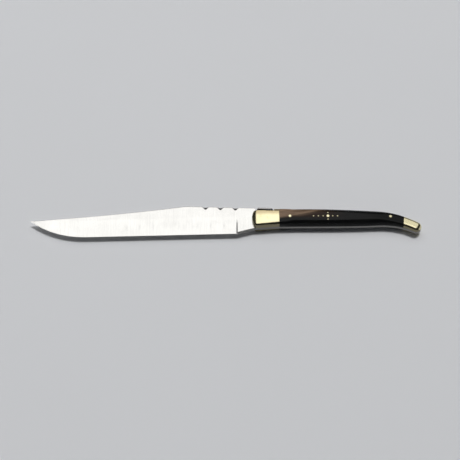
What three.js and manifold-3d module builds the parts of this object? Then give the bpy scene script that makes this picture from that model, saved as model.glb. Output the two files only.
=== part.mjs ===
// A ham knife: a full-tang steel blade between brass bolsters, dark horn scales and brass butt caps.
// Millimetres. The knife lies on its right side: +X runs from the tip to the butt, +Y from the cutting edge
// to the spine and +Z up through the left side. Every size is drawn from the point where the bolsters' front
// face crosses the handle's axis, halfway through the steel. The finished knife is then set down with its
// origin at the bottom centre of its box.
import * as THREE from "three";
import { mergeVertices } from "three/addons/utils/BufferGeometryUtils.js";
import Module from "manifold-3d";

const wasm = await Module();
wasm.setup();

// Blade outline
const BLADE_LENGTH = 180; // tip to the bolsters' front face
const SPINE_AT_BOLSTER = 9.85; // height of the spine over the axis where it reaches the bolsters
const HUMP_FROM_BOLSTER = 56; // where the straight spine turns into the long clip
const HUMP_HEIGHT = 11.6; // height of that turn over the axis
const HUMP_SOFTENING = 0.9; // rounding of that turn
const CLIP_SAG = 1.3; // hollow of the clip below its chord
const TIP_DEPTH = 1.6; // the tip lies this far below the axis
const HEEL_FROM_BOLSTER = 15.4; // where the cutting edge ends
const HEEL_DEPTH = 12.7; // the edge's depth below the axis at the heel
const HEEL_TOOTH = 0.45; // extra depth of the heel's corner
const BELLY_LENGTH = 48; // the stretch before the tip where the edge curves up
const BELLY_DEPTH = 15.75; // the edge's depth below the axis where that curve starts
const BELLY_POWER = 2.32; // how late the curve rises
const SPINE_STEP_GAP = 0.5; // the spine's step down to the tang ends this far before the bolsters' face
const SPINE_STEP_LENGTH = 1.2;
const TIP_LAND = 0.15; // blunt end of the tip

// Blade section
const STEEL_THICKNESS = 2.8; // heel, tang and rear spine
const TIP_THICKNESS = 1.8; // what the steel tapers to at the tip
const BEVEL_HEIGHT = 14; // ground face, measured up from the edge
const EDGE_BEVEL_HEIGHT = 0.9; // the narrow sharpened face
const EDGE_BEVEL_THICKNESS = 0.3; // steel left at the top of that face
const EDGE_FLAT = 0.1; // blunt width of the edge itself
const PLUNGE_LENGTH = 1.2; // ramp from the ground face up to the full heel
const STEEL_CHAMFER = 0.3; // broken corners of the spine and heel
const TIP_CHAMFER_SHARE = 0.12; // near the tip a broken corner takes no more than this share of the height
const TIP_BEVEL_SHARE = 0.25; // and the sharpened face no more than this share

// Filed scallops on the spine
const SCALLOP_COUNT = 3;
const SCALLOP_PITCH = 11.9;
const SCALLOP_WIDTH = 6;
const SCALLOP_DEPTH = 0.9;
const SCALLOP_FACET_HEIGHT = 1.5; // the file's slanted facet reaches this far down each side of a scallop
const SCALLOP_FACET_INSET = 0.5; // and takes this much off the side at the top
const REAR_SCALLOP_FROM_BOLSTER = 16.8;

// Shallow hollows in the ground face, half a pitch apart on the two sides
const HOLLOW_COUNT = 9;
const HOLLOW_PITCH = 10.6;
const HOLLOW_WIDTH = 9;
const HOLLOW_HEIGHT = 12;
const HOLLOW_DEPTH = 0.28;
const HOLLOW_ABOVE_EDGE = 1.3;
const HOLLOW_SQUARENESS = 4; // how straight the long sides of a hollow run; 2 would be an oval
const REAR_HOLLOW_FROM_HEEL = 6.6;

// Handle
const HANDLE_LENGTH = 130; // bolsters' front face to the butt
const BEND_RADIUS = 67; // the handle's rear stretch curves down on this radius
const BEND_LENGTH = 35; // length of that stretch along X
const BOLSTER_LENGTH = 18.2;
const BOLSTER_NOSE = 3.5; // the bolsters' sloping front reaches this far over the heel
const NOSE_WALL = 2.6; // and ends in an upright wall this high over the steel
const NOSE_POWER = 1.05; // how far that front bulges over a straight slope, which is 1
const BOLSTER_FRONT_WIDTH = 16;
const BOLSTER_REAR_WIDTH = 15;
const BOLSTER_THICKNESS = 12.2;
const SWELL_FROM_BOLSTER = 12; // the scales are widest this far behind the bolsters
const SWELL_WIDTH = 15.7;
const SWELL_THICKNESS = 12.8;
const BEND_WIDTH = 12.8; // where the rear stretch starts to curve
const BEND_THICKNESS = 11.8;
const CAP_LENGTH = 13.4; // butt caps, measured along X
const CAP_WIDTH = 9.2; // at the seam between scale and cap
const CAP_THICKNESS = 9.6;
const CAP_SEAM_TILT = 6; // degrees that the seam leans back
const BUTT_WIDTH = 8.2;
const BUTT_THICKNESS = 8.6;
const BUTT_ROUNDING = 4; // length of the domed end
const FLAT_THICKNESS = 12; // the handle's sides are ground flat to this
const FRONT_DROP = 0.5; // the axis starts this far below its straight run
const SWELL_RISE = 0.5; // and climbs this far above it at the swell
const FRONT_SQUARENESS = 6.5; // exponent of the section's rounded square at the bolsters' front
const REAR_SQUARENESS = 4.5; // the same at the bolsters' rear
const SCALE_SQUARENESS = 2.4; // the same from the swell to the bend
const CAP_SQUARENESS = 3.8; // the same at the butt caps

// Ornament brazed on a seat that is filed across the back of the bolsters and the tang
const SEAT_DEPTH = 2.2; // below the handle's back
const SEAT_GAP = 0.6; // left open behind the ornament
const ORNAMENT_LENGTH = 13;
const ORNAMENT_WIDTH = 8;
const ORNAMENT_TAIL_WIDTH = 6.6;
const ORNAMENT_CORNER = 1.6; // radius of its corners in plan
const ORNAMENT_HEIGHT = 4; // over its seat
const ORNAMENT_ROUNDING = 1.2;
const ORNAMENT_FROM_FACE = 0.4; // its front end lies this far behind the bolsters' face
const ORNAMENT_GROOVE_COUNT = 3;
const ORNAMENT_GROOVE_PITCH = 1.5;
const ORNAMENT_GROOVE_RADIUS = 0.35;

// Pins
const PIN_DIAMETER = 2.5;
const PIN_HEIGHT = 0.2; // the row of pins lies this far above the axis's straight run
const BOLSTER_PIN_INSET = 5; // from either end of a bolster
const SCALE_PIN_INSET = 8.3; // from the bolster
const REAR_PIN_INSET = 10.4; // from the seam with the butt cap
const CENTRE_PIN_FROM_BOLSTER = 38.4;
const CROSS_PIN_DIAMETER = 1.2;
const CROSS_PIN_DEPTH = 3;
const CROSS_PITCH = 3.8; // along the handle
const CROSS_ARM = 3; // across the handle
const CROSS_FORE_COUNT = 3; // pins of the cross towards the blade
const CROSS_REAR_COUNT = 2; // pins of the cross towards the butt
const BUTT_PIN_FROM_SEAM = 5;

// Fit and fineness
const FIT = 0.06; // glue or solder line between two pieces
const REACH = 2 * (BLADE_LENGTH + HANDLE_LENGTH); // longer than anything on the knife
const RING_POINTS = 28;
const RING_STEP = 4;
const DOME_STEPS = 6;
const DOME_POLE = 0.4; // share of a step left open at the pole of a dome
const STEEL_CORNERS = 5; // corners of the steel's section on each side
const BELLY_STEPS = 12;
const BELLY_CROWDING = 1.6; // how much closer the rings lie towards the tip
const CLIP_STEPS = 8;
const HUMP_STEPS = 6;
const SCALLOP_STEPS = 8;
const PLUNGE_STEPS = 3;
const HEEL_STEPS = 3;
const SPINE_STEP_STEPS = 4;
const LEAST_STEP = 0.12; // rings closer than this are merged
const PIN_SIDES = 20;
const CROSS_PIN_SIDES = 12;
const HOLLOW_STEPS = 8; // across a hollow and along it
const HOLLOW_OVERCUT = 1.15; // the cutter is wider than the hollow by this factor
const ORNAMENT_STEPS = 6;
const ORNAMENT_RIM_STEPS = 3;

const steel = () => new THREE.MeshStandardMaterial({ color: 0xd9dadb, roughness: 0.22, metalness: 1 });
const brass = () => new THREE.MeshStandardMaterial({ color: 0xd8b45a, roughness: 0.2, metalness: 1 });
const horn = () => new THREE.MeshStandardMaterial({ color: 0x2b1e19, roughness: 0.28, metalness: 0 });

const lerp = THREE.MathUtils.lerp;
const clamp = THREE.MathUtils.clamp;
const range = (count) => Array.from({ length: count }, (_, i) => i);
const spread = (from, to, steps) => range(steps + 1).map((i) => lerp(from, to, i / steps));

// Solids

// Skins a row of rings that have the same number of points, and closes both ends with a fan.
// The rings follow each other along X, and each runs from +Y by way of +Z.
function loft(rings) {
  const count = rings[0].length;
  const middle = (ring) => ring.reduce((sum, p) => sum.add(p), new THREE.Vector3()).divideScalar(count);
  const points = [...rings.flat(), middle(rings[0]), middle(rings.at(-1))];
  const last = (rings.length - 1) * count;
  const index = [];
  for (const j of range(count)) {
    const next = (j + 1) % count;
    for (let i = 0; i < last; i += count) {
      index.push(i + j, i + next, i + count + j);
      index.push(i + next, i + count + next, i + count + j);
    }
    index.push(points.length - 2, next, j);
    index.push(points.length - 1, last + j, last + next);
  }
  const geometry = new THREE.BufferGeometry().setFromPoints(points);
  geometry.setIndex(index);
  return geometry;
}

function solid(geometry) {
  const bare = geometry.clone();
  bare.deleteAttribute("normal");
  bare.deleteAttribute("uv");
  const merged = mergeVertices(bare);
  const vertProperties = new Float32Array(merged.attributes.position.array);
  const triVerts = new Uint32Array(merged.index.array);
  return new wasm.Manifold(new wasm.Mesh({ numProp: 3, vertProperties, triVerts }));
}

function piece(name, body, material) {
  const { vertProperties, triVerts } = body.getMesh();
  const geometry = new THREE.BufferGeometry();
  geometry.setAttribute("position", new THREE.BufferAttribute(vertProperties, 3));
  geometry.setIndex(new THREE.BufferAttribute(triVerts, 1));
  const mesh = new THREE.Mesh(geometry, material);
  mesh.name = name;
  return mesh;
}

// A block between two corners.
function block(low, high) {
  const size = new THREE.Vector3().subVectors(high, low);
  const centre = new THREE.Vector3().addVectors(low, high).multiplyScalar(0.5);
  return new THREE.BoxGeometry(size.x, size.y, size.z).translate(centre.x, centre.y, centre.z);
}

// A round rod along Z, from one height to another.
function rod(place, radius, bottom, top, sides) {
  const geometry = new THREE.CylinderGeometry(radius, radius, top - bottom, sides);
  geometry.rotateX(Math.PI / 2);
  return solid(geometry.translate(place.x, place.y, (bottom + top) / 2));
}

// A smooth curve through a few [place, value] stations.
function through(stations) {
  const places = stations.map((station) => station[0]);
  const values = stations.map((station) => station[1]);
  const curve = new THREE.CubicInterpolant(places, values, 1, [0]);
  return (place) => curve.evaluate(place)[0];
}

// Handle's axis and section

const bendStart = HANDLE_LENGTH - BEND_LENGTH;
const turnAt = (x) => Math.asin(Math.max(x - bendStart, 0) / BEND_RADIUS);
const alongAt = (x) => Math.min(x, bendStart) + BEND_RADIUS * turnAt(x);
const handleEnd = alongAt(HANDLE_LENGTH);
const swell = BOLSTER_LENGTH + SWELL_FROM_BOLSTER;
const seam = HANDLE_LENGTH - CAP_LENGTH;

const axisHeight = through([[0, -FRONT_DROP], [swell, SWELL_RISE], [bendStart, 0]]);
const fullWidth = through([
  [0, BOLSTER_FRONT_WIDTH],
  [BOLSTER_LENGTH, BOLSTER_REAR_WIDTH],
  [swell, SWELL_WIDTH],
  [bendStart, BEND_WIDTH],
  [alongAt(seam), CAP_WIDTH],
  [handleEnd, BUTT_WIDTH],
]);
const fullThickness = through([
  [0, BOLSTER_THICKNESS],
  [BOLSTER_LENGTH, BOLSTER_THICKNESS],
  [swell, SWELL_THICKNESS],
  [bendStart, BEND_THICKNESS],
  [alongAt(seam), CAP_THICKNESS],
  [handleEnd, BUTT_THICKNESS],
]);

// The point of the axis at a distance along it, and the direction across it towards the back.
function axis(along) {
  const turn = Math.max(along - bendStart, 0) / BEND_RADIUS;
  const x = Math.min(along, bendStart) + BEND_RADIUS * Math.sin(turn);
  const y = axisHeight(clamp(along, 0, bendStart)) - BEND_RADIUS * (1 - Math.cos(turn));
  const across = new THREE.Vector3(Math.sin(turn), Math.cos(turn), 0);
  return { point: new THREE.Vector3(x, y, 0), across };
}

// The share of the full section that is left in the bolsters' nose and in the domed butt, which are round in
// plan. The butt is as round from the side, and the nose slopes down to its wall.
const round = (share, power) => (1 - share ** power) ** (1 / power);
const noseShare = (along) => clamp(-along / BOLSTER_NOSE, 0, 1);
const buttDome = (along) => round(clamp((along - handleEnd + BUTT_ROUNDING) / BUTT_ROUNDING, 0, 1), 2);
const sideFloor = STEEL_THICKNESS / 2 + FIT;

function halfWidth(along) {
  return (fullWidth(clamp(along, 0, handleEnd)) / 2) * buttDome(along) * round(noseShare(along), 2);
}

function halfThickness(along) {
  const full = (fullThickness(clamp(along, 0, handleEnd)) / 2) * buttDome(along);
  return lerp(sideFloor + NOSE_WALL, full, round(noseShare(along), NOSE_POWER));
}

function squareness(along) {
  const bolster = lerp(FRONT_SQUARENESS, REAR_SQUARENESS, clamp(along / BOLSTER_LENGTH, 0, 1));
  const scale = lerp(bolster, SCALE_SQUARENESS, THREE.MathUtils.smoothstep(along, BOLSTER_LENGTH, swell));
  return lerp(scale, CAP_SQUARENESS, THREE.MathUtils.smoothstep(along, bendStart, alongAt(seam)));
}

const backPoint = (along) => axis(along).point.addScaledVector(axis(along).across, halfWidth(along));
const bellyPoint = (along) => axis(along).point.addScaledVector(axis(along).across, -halfWidth(along));
const seatHeight = backPoint(ORNAMENT_FROM_FACE + ORNAMENT_LENGTH / 2).y - SEAT_DEPTH;
const seatEnd = ORNAMENT_FROM_FACE + ORNAMENT_LENGTH + SEAT_GAP;

// Places along a dome, closer together towards its pole, which is left out.
const domeAngle = Math.PI / 2 / (DOME_STEPS - DOME_POLE);
const domePlaces = range(DOME_STEPS).map((i) => Math.sin(i * domeAngle));
const straightLength = handleEnd - BUTT_ROUNDING;
const straightSteps = Math.round(straightLength / RING_STEP);
const handlePlaces = [
  ...domePlaces.map((share) => -share * BOLSTER_NOSE).reverse(),
  ...range(straightSteps - 1).map((i) => (straightLength * (i + 1)) / straightSteps),
  ...domePlaces.map((share) => straightLength + share * BUTT_ROUNDING),
];

// One ring of the handle: a rounded square whose sides are ground flat.
function handleRing(along) {
  const { point, across } = axis(along);
  const power = 2 / squareness(along);
  const bulge = (value) => Math.sign(value) * Math.abs(value) ** power;
  return range(RING_POINTS).map((i) => {
    const angle = (2 * Math.PI * i) / RING_POINTS;
    const height = halfThickness(along) * bulge(Math.sin(angle));
    const corner = point.clone().addScaledVector(across, halfWidth(along) * bulge(Math.cos(angle)));
    return corner.setZ(clamp(height, -FLAT_THICKNESS / 2, FLAT_THICKNESS / 2));
  });
}

const handleBody = solid(loft(handlePlaces.map(handleRing)));

// Blade and tang

const bellyStart = BELLY_LENGTH - BLADE_LENGTH;
const scallopCentres = range(SCALLOP_COUNT).map((i) => -REAR_SCALLOP_FROM_BOLSTER - i * SCALLOP_PITCH);

// The lower of two lines, with their crossing rounded.
function softLower(a, b, rounding) {
  const near = Math.max(rounding - Math.abs(a - b), 0);
  return Math.min(a, b) - (near * near) / (4 * rounding);
}

// The share of a filed scallop's full depth at a place along the spine.
function scallop(x) {
  const nearest = Math.min(...scallopCentres.map((centre) => Math.abs(x - centre)));
  const share = Math.min(nearest / (SCALLOP_WIDTH / 2), 1);
  return Math.cos((Math.PI / 2) * share) ** 2;
}

// The spine: straight from the bolsters to the hump, then the hollow clip, less the scallops. Just before the
// bolsters it steps down to the ornament's seat.
function spine(x) {
  const share = (x + HUMP_FROM_BOLSTER) / (HUMP_FROM_BOLSTER - BLADE_LENGTH);
  const clip = lerp(HUMP_HEIGHT, -TIP_DEPTH, share) - 4 * CLIP_SAG * share * (1 - share);
  const straight = lerp(SPINE_AT_BOLSTER, HUMP_HEIGHT, -x / HUMP_FROM_BOLSTER);
  const full = softLower(clip, straight, HUMP_SOFTENING) - SCALLOP_DEPTH * scallop(x);
  const step = clamp((x + SPINE_STEP_GAP) / SPINE_STEP_LENGTH + 1, 0, 1);
  return lerp(full, seatHeight, 1 - Math.sqrt(1 - step * step));
}

const edgeRun = bellyStart + HEEL_FROM_BOLSTER;
const straightEdge = (x) => lerp(-HEEL_DEPTH, -BELLY_DEPTH, (x + HEEL_FROM_BOLSTER) / edgeRun);

// The edge: straight from the heel, then the belly. Behind the heel the steel rises to the handle's belly.
function edge(x) {
  const climb = -TIP_DEPTH - straightEdge(-BLADE_LENGTH);
  const belly = climb * (Math.max(bellyStart - x, 0) / BELLY_LENGTH) ** BELLY_POWER;
  const tooth = HEEL_TOOTH * clamp(1 - Math.abs(x + HEEL_FROM_BOLSTER) / PLUNGE_LENGTH, 0, 1);
  const behindHeel = lerp(bellyPoint(0).y, -HEEL_DEPTH, -x / HEEL_FROM_BOLSTER);
  return (x > -HEEL_FROM_BOLSTER ? behindHeel : straightEdge(x) + belly) - tooth;
}

// The blade's section at a place along it: distances up from the edge, and half thicknesses there.
function section(x) {
  const height = spine(x) - edge(x);
  const taper = clamp((-x - HUMP_FROM_BOLSTER) / (BLADE_LENGTH - HUMP_FROM_BOLSTER), 0, 1);
  const full = lerp(STEEL_THICKNESS, TIP_THICKNESS, taper) / 2;
  const heel = clamp((x + HEEL_FROM_BOLSTER) / PLUNGE_LENGTH + 0.5, 0, 1);
  const chamfer = Math.min(STEEL_CHAMFER, height * TIP_CHAMFER_SHARE);
  const ground = Math.min(BEVEL_HEIGHT, height - 2 * chamfer);
  const top = lerp((full * ground) / BEVEL_HEIGHT, full, heel);
  return {
    height,
    cornerHeight: lerp(chamfer, SCALLOP_FACET_HEIGHT, scallop(x)),
    cornerInset: lerp(Math.min(chamfer, top / 2), SCALLOP_FACET_INSET, scallop(x)),
    ground,
    top,
    bevelHeight: Math.min(EDGE_BEVEL_HEIGHT, height * TIP_BEVEL_SHARE),
    bevelTop: lerp(Math.min(EDGE_BEVEL_THICKNESS / 2, top), top, heel),
    blunt: lerp(Math.min(EDGE_FLAT, EDGE_BEVEL_THICKNESS, top) / 2, top - chamfer, heel),
  };
}

// One ring of steel between a point of the back and a point of the edge. Each corner is a distance up from
// the edge and a height over the middle of the steel, and the right side mirrors the left.
function steelRing(back, front, corners) {
  const up = back.clone().sub(front).normalize();
  const place = (distance, height) => front.clone().addScaledVector(up, distance).setZ(height);
  const left = corners.map(([distance, height]) => place(distance, height));
  const right = corners.map(([distance, height]) => place(distance, -height)).reverse();
  return [...left, ...right];
}

function bladeRing(x) {
  const { height, cornerHeight, cornerInset, ground, top, bevelHeight, bevelTop, blunt } = section(x);
  return steelRing(new THREE.Vector3(x, spine(x), 0), new THREE.Vector3(x, edge(x), 0), [
    [height, top - cornerInset],
    [height - cornerHeight, top],
    [ground, top],
    [bevelHeight, bevelTop],
    [0, blunt],
  ]);
}

// The tang is a plain plate, so its ring's corners are only spread evenly from back to belly.
function tangRing(along) {
  const back = backPoint(along);
  const front = bellyPoint(along);
  const distances = spread(back.distanceTo(front), 0, STEEL_CORNERS - 1);
  return steelRing(back, front, distances.map((distance) => [distance, STEEL_THICKNESS / 2]));
}

const tipStart = TIP_LAND - BLADE_LENGTH;
const spineStepStart = -SPINE_STEP_GAP - SPINE_STEP_LENGTH;
const bladePlaces = [
  ...spread(0, 1, BELLY_STEPS).map((share) => lerp(tipStart, bellyStart, share ** BELLY_CROWDING)),
  ...spread(bellyStart, -HUMP_FROM_BOLSTER - SCALLOP_WIDTH, CLIP_STEPS),
  ...spread(-HUMP_FROM_BOLSTER - SCALLOP_WIDTH, -HUMP_FROM_BOLSTER + SCALLOP_WIDTH, HUMP_STEPS),
  ...scallopCentres.flatMap((x) => spread(x - SCALLOP_WIDTH / 2, x + SCALLOP_WIDTH / 2, SCALLOP_STEPS)),
  ...spread(-PLUNGE_LENGTH, PLUNGE_LENGTH / 2, PLUNGE_STEPS).map((at) => at - HEEL_FROM_BOLSTER),
  ...spread(PLUNGE_LENGTH - HEEL_FROM_BOLSTER, spineStepStart, HEEL_STEPS),
  ...spread(0, Math.PI / 2, SPINE_STEP_STEPS).map((a) => spineStepStart + SPINE_STEP_LENGTH * Math.sin(a)),
].sort((a, b) => a - b).filter((x, i, all) => i === 0 || x - all[i - 1] > LEAST_STEP);

const tangPlaces = handlePlaces.filter((along) => along >= 0);
const steelBody = solid(loft([...bladePlaces.map(bladeRing), ...tangPlaces.map(tangRing)]));

// A shallow bowl with long straight sides, open upwards: rings side by side, each with a roof and a floor.
function bowl() {
  const shares = spread(-HOLLOW_OVERCUT, HOLLOW_OVERCUT, HOLLOW_STEPS);
  const roof = HOLLOW_OVERCUT ** HOLLOW_SQUARENESS + HOLLOW_OVERCUT ** 2;
  const rings = shares.map((across) => {
    const floor = shares.map((up) => [up, across ** 2 + Math.abs(up) ** HOLLOW_SQUARENESS - 1]);
    const outline = [[HOLLOW_OVERCUT, roof], [-HOLLOW_OVERCUT, roof], ...floor];
    return outline.map(([up, height]) => new THREE.Vector3(across, up, height));
  });
  return loft(rings).scale(HOLLOW_WIDTH / 2, HOLLOW_HEIGHT / 2, HOLLOW_DEPTH);
}

// A cutter for one hollow, laid on the ground face. Side is 1 on the left of the blade and -1 on the right.
function hollowCutter(x, side) {
  const { ground, top, bevelHeight, bevelTop } = section(x);
  const distance = HOLLOW_ABOVE_EDGE + HOLLOW_HEIGHT / 2;
  const slope = (top - bevelTop) / (ground - bevelHeight);
  const tilt = side > 0 ? Math.atan(slope) : Math.PI - Math.atan(slope);
  const height = side * (bevelTop + slope * (distance - bevelHeight));
  return solid(bowl().rotateX(tilt).translate(x, edge(x) + distance, height));
}

const rearHollow = -HEEL_FROM_BOLSTER - REAR_HOLLOW_FROM_HEEL;
const hollowCutters = range(HOLLOW_COUNT).flatMap((i) => [
  hollowCutter(rearHollow - i * HOLLOW_PITCH, 1),
  hollowCutter(rearHollow - (i + 0.5) * HOLLOW_PITCH, -1),
]);

// Pins

const centrePin = new THREE.Vector2(BOLSTER_LENGTH + CENTRE_PIN_FROM_BOLSTER, PIN_HEIGHT);
const throughPins = {
  bolster_pin_front: new THREE.Vector2(BOLSTER_PIN_INSET, PIN_HEIGHT),
  bolster_pin_rear: new THREE.Vector2(BOLSTER_LENGTH - BOLSTER_PIN_INSET, PIN_HEIGHT),
  scale_pin_front: new THREE.Vector2(BOLSTER_LENGTH + SCALE_PIN_INSET, PIN_HEIGHT),
  scale_pin_centre: centrePin,
  scale_pin_rear: new THREE.Vector2(seam - REAR_PIN_INSET, PIN_HEIGHT),
  butt_pin: axis(alongAt(seam) + BUTT_PIN_FROM_SEAM).point,
};
const crossPlaces = [
  ...range(CROSS_FORE_COUNT).map((i) => [`cross_pin_fore_${i + 1}`, -(i + 1) * CROSS_PITCH, 0]),
  ...range(CROSS_REAR_COUNT).map((i) => [`cross_pin_rear_${i + 1}`, (i + 1) * CROSS_PITCH, 0]),
  ["cross_pin_back", 0, CROSS_ARM],
  ["cross_pin_belly", 0, -CROSS_ARM],
];

const throughRod = (place, gap) => rod(place, PIN_DIAMETER / 2 + gap, -REACH, REACH, PIN_SIDES);
const throughHoles = Object.values(throughPins).map((place) => throughRod(place, FIT));
const crossFloor = FLAT_THICKNESS / 2 - CROSS_PIN_DEPTH;

function crossRod(x, y, gap) {
  const place = new THREE.Vector2(centrePin.x + x, centrePin.y + y);
  return rod(place, CROSS_PIN_DIAMETER / 2 + gap, crossFloor - gap, REACH, CROSS_PIN_SIDES);
}

const crossHoles = crossPlaces.map(([, x, y]) => crossRod(x, y, FIT));

const bore = (body, holes) => holes.reduce((left, hole) => left.subtract(hole), body);

// Bolsters, scales and caps, cut out of the handle's body on each side of the steel

const far = (x, y, z) => new THREE.Vector3(x, y, z).multiplyScalar(REACH);
const behind = (x) => solid(block(far(0, -1, -1), far(1, 1, 1)).translate(x, 0, 0));
const behindSeam = (gap) => {
  const region = block(far(0, -1, -1), far(1, 1, 1)).rotateZ(-THREE.MathUtils.degToRad(CAP_SEAM_TILT));
  return solid(region.translate(seam + gap, axis(alongAt(seam)).point.y, 0));
};
const sides = {
  left: solid(block(far(-1, -1, 0), far(1, 1, 1)).translate(0, 0, sideFloor)),
  right: solid(block(far(-1, -1, -1), far(1, 1, 0)).translate(0, 0, -sideFloor)),
};

// Ornament

// What is filed away above the seat, from a place along the handle.
function aboveSeat(front) {
  return solid(block(new THREE.Vector3(front, seatHeight, -REACH), new THREE.Vector3(seatEnd, REACH, REACH)));
}

// A long boss that narrows to its tail, with a rounded rim, set on its seat, and filed lines across its tail.
function ornament() {
  const head = ORNAMENT_WIDTH / 2;
  const tail = ORNAMENT_TAIL_WIDTH / 2;
  const front = ORNAMENT_CORNER;
  const rear = ORNAMENT_LENGTH - ORNAMENT_CORNER;
  const outline = new THREE.Shape();
  outline.absarc(front, head - ORNAMENT_CORNER, ORNAMENT_CORNER, Math.PI / 2, Math.PI);
  outline.absarc(front, ORNAMENT_CORNER - head, ORNAMENT_CORNER, -Math.PI, -Math.PI / 2);
  outline.absarc(rear, ORNAMENT_CORNER - tail, ORNAMENT_CORNER, -Math.PI / 2, 0);
  outline.absarc(rear, tail - ORNAMENT_CORNER, ORNAMENT_CORNER, 0, Math.PI / 2);
  const boss = new THREE.ExtrudeGeometry(outline, {
    depth: ORNAMENT_HEIGHT - ORNAMENT_ROUNDING,
    bevelThickness: ORNAMENT_ROUNDING,
    bevelSize: ORNAMENT_ROUNDING,
    bevelOffset: -ORNAMENT_ROUNDING,
    bevelSegments: ORNAMENT_RIM_STEPS,
    curveSegments: ORNAMENT_STEPS,
  });
  boss.rotateX(-Math.PI / 2).translate(ORNAMENT_FROM_FACE, seatHeight, 0);
  const grooves = range(ORNAMENT_GROOVE_COUNT).map((i) => {
    const x = ORNAMENT_FROM_FACE + rear - (i + 0.5) * ORNAMENT_GROOVE_PITCH;
    const place = new THREE.Vector2(x, seatHeight + ORNAMENT_HEIGHT);
    return rod(place, ORNAMENT_GROOVE_RADIUS, -REACH, REACH, CROSS_PIN_SIDES);
  });
  const belowSeat = solid(block(far(-1, -1, -1), far(1, 0, 1)).translate(0, seatHeight + FIT, 0));
  return bore(solid(boss), [belowSeat, ...grooves]);
}

// Knife

const knife = new THREE.Group();
const steelCuts = [...hollowCutters, ...throughHoles, aboveSeat(-SPINE_STEP_GAP)];
knife.add(piece("blade", bore(steelBody, steelCuts), steel()));
for (const [side, region] of Object.entries(sides)) {
  const half = bore(handleBody.intersect(region), throughHoles);
  const scale = half.intersect(behind(BOLSTER_LENGTH + FIT)).subtract(behindSeam(-FIT));
  const bolster = bore(half, [behind(BOLSTER_LENGTH), aboveSeat(-REACH)]);
  knife.add(piece(`front_bolster_${side}`, bolster, brass()));
  knife.add(piece(`scale_${side}`, side === "left" ? bore(scale, crossHoles) : scale, horn()));
  knife.add(piece(`butt_cap_${side}`, half.intersect(behindSeam(0)), brass()));
}
for (const [name, place] of Object.entries(throughPins)) {
  knife.add(piece(name, handleBody.intersect(throughRod(place, 0)), brass()));
}
for (const [name, x, y] of crossPlaces) {
  knife.add(piece(name, handleBody.intersect(crossRod(x, y, 0)), brass()));
}
knife.add(piece("back_ornament", ornament(), steel()));

const box = new THREE.Box3().setFromObject(knife);
const centre = box.getCenter(new THREE.Vector3());
knife.position.set(-centre.x, -centre.y, -box.min.z);
export default knife;
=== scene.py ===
"""A ham knife, dressed for a picture: a full-tang steel blade with shallow hollows, brass bolsters and butt
caps, dark horn scales with a pinned cross, and a small steel boss on the back of the handle.

Everything is in metres, in the frame of the packed part: +X runs from the tip to the butt, +Y from the
cutting edge to the spine and +Z up through the left side. Shapes are drawn from the point where the bolsters'
front face crosses the handle's axis, halfway through the steel.
"""

import math

import bpy
import numpy as np
from bpy.props import FloatProperty, FloatVectorProperty, IntProperty, PointerProperty
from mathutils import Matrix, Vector


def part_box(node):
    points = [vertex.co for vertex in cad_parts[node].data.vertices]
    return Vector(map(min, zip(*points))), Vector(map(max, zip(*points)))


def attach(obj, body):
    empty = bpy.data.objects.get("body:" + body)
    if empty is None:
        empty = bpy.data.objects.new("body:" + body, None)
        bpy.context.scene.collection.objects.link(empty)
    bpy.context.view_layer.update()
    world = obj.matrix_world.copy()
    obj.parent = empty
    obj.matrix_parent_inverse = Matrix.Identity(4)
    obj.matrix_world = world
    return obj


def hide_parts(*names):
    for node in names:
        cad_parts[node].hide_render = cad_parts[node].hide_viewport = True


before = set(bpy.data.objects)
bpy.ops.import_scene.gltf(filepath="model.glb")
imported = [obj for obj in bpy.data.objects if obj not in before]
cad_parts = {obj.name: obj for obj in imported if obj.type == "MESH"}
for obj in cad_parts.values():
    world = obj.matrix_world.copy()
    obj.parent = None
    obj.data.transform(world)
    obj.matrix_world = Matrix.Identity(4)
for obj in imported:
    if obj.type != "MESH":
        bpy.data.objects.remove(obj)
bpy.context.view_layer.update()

bl_info = {
    "name": "Ham knife",
    "version": (1, 0, 0),
    "blender": (4, 5, 0),
    "location": "View3D > Sidebar > Ham knife",
    "description": "Builds a ham knife round its packed solids, with a studio stage",
    "category": "Object",
}

BODY = "root"
MM = 0.001

SIDES = (("left", 1), ("right", -1))  # of the handle, and which way Z runs there
MIRROR = np.array([1, 1, -1])  # from the left side to the right one

# Fineness of the surfaces, and small fixed shares
BLADE_STEP = 0.42 * MM  # between two sections of the blade
DETAIL_STEP = 0.12 * MM  # the same, where a small form needs it
TIP_DETAIL = 1 / 16  # share of the belly's length where the tip needs it
LEAST_STEP = 0.05 * MM  # even steps keep this clear of other places
SEAT_WALL = LEAST_STEP / 10  # run of the wall where the boss's seat ends
FLAT_ROWS = 12  # rows on the blade's flat
GROUND_ROWS = 36  # rows on its ground face
EDGE_ROWS = 4  # rows on the sharpened face
CORNER_ROWS = 4  # rows on a rounded corner
CROWN_ROWS = 7  # points across the edge or the tang's belly
TANG_SHARE = 0.98  # most of the handle's thickness that the tang takes at the butt
HANDLE_STEP = 1.0 * MM  # between two sections of the handle
CAP_STEP = 0.5 * MM  # the same at the butt caps
AROUND = np.linspace(0, 1, 57)  # round half of the handle, from the back's edge to the belly's
INNER_ROWS = 6  # rows back along the steel
DOME_ROWS = 14  # rings on the nose and on the domed butt
NOSE_POLE = 0.97  # share of the nose's quarter turn that is skinned
PIN_SIDES = 40  # points round a pin
PIN_RADII = np.linspace(0.04, 1, 7)  # from a head's small middle face to its rim
BOSS_ROWS = 96  # sections of the boss
BOSS_POINTS = 9  # on each of a wall, a rim and a roof
BOSS_FADE = 0.15  # share of a wall's height over which the painted shade ends
FLOOR_ROWS = 61  # points along a side of the floor
FLOOR_GAP = 0.05 * MM  # the floor lies this far under the knife
SOLVE_STEPS = 10  # Newton's steps to the seam of the butt caps
SHARP_ANGLE = math.radians(28)  # faces that meet at more than this show an edge

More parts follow.
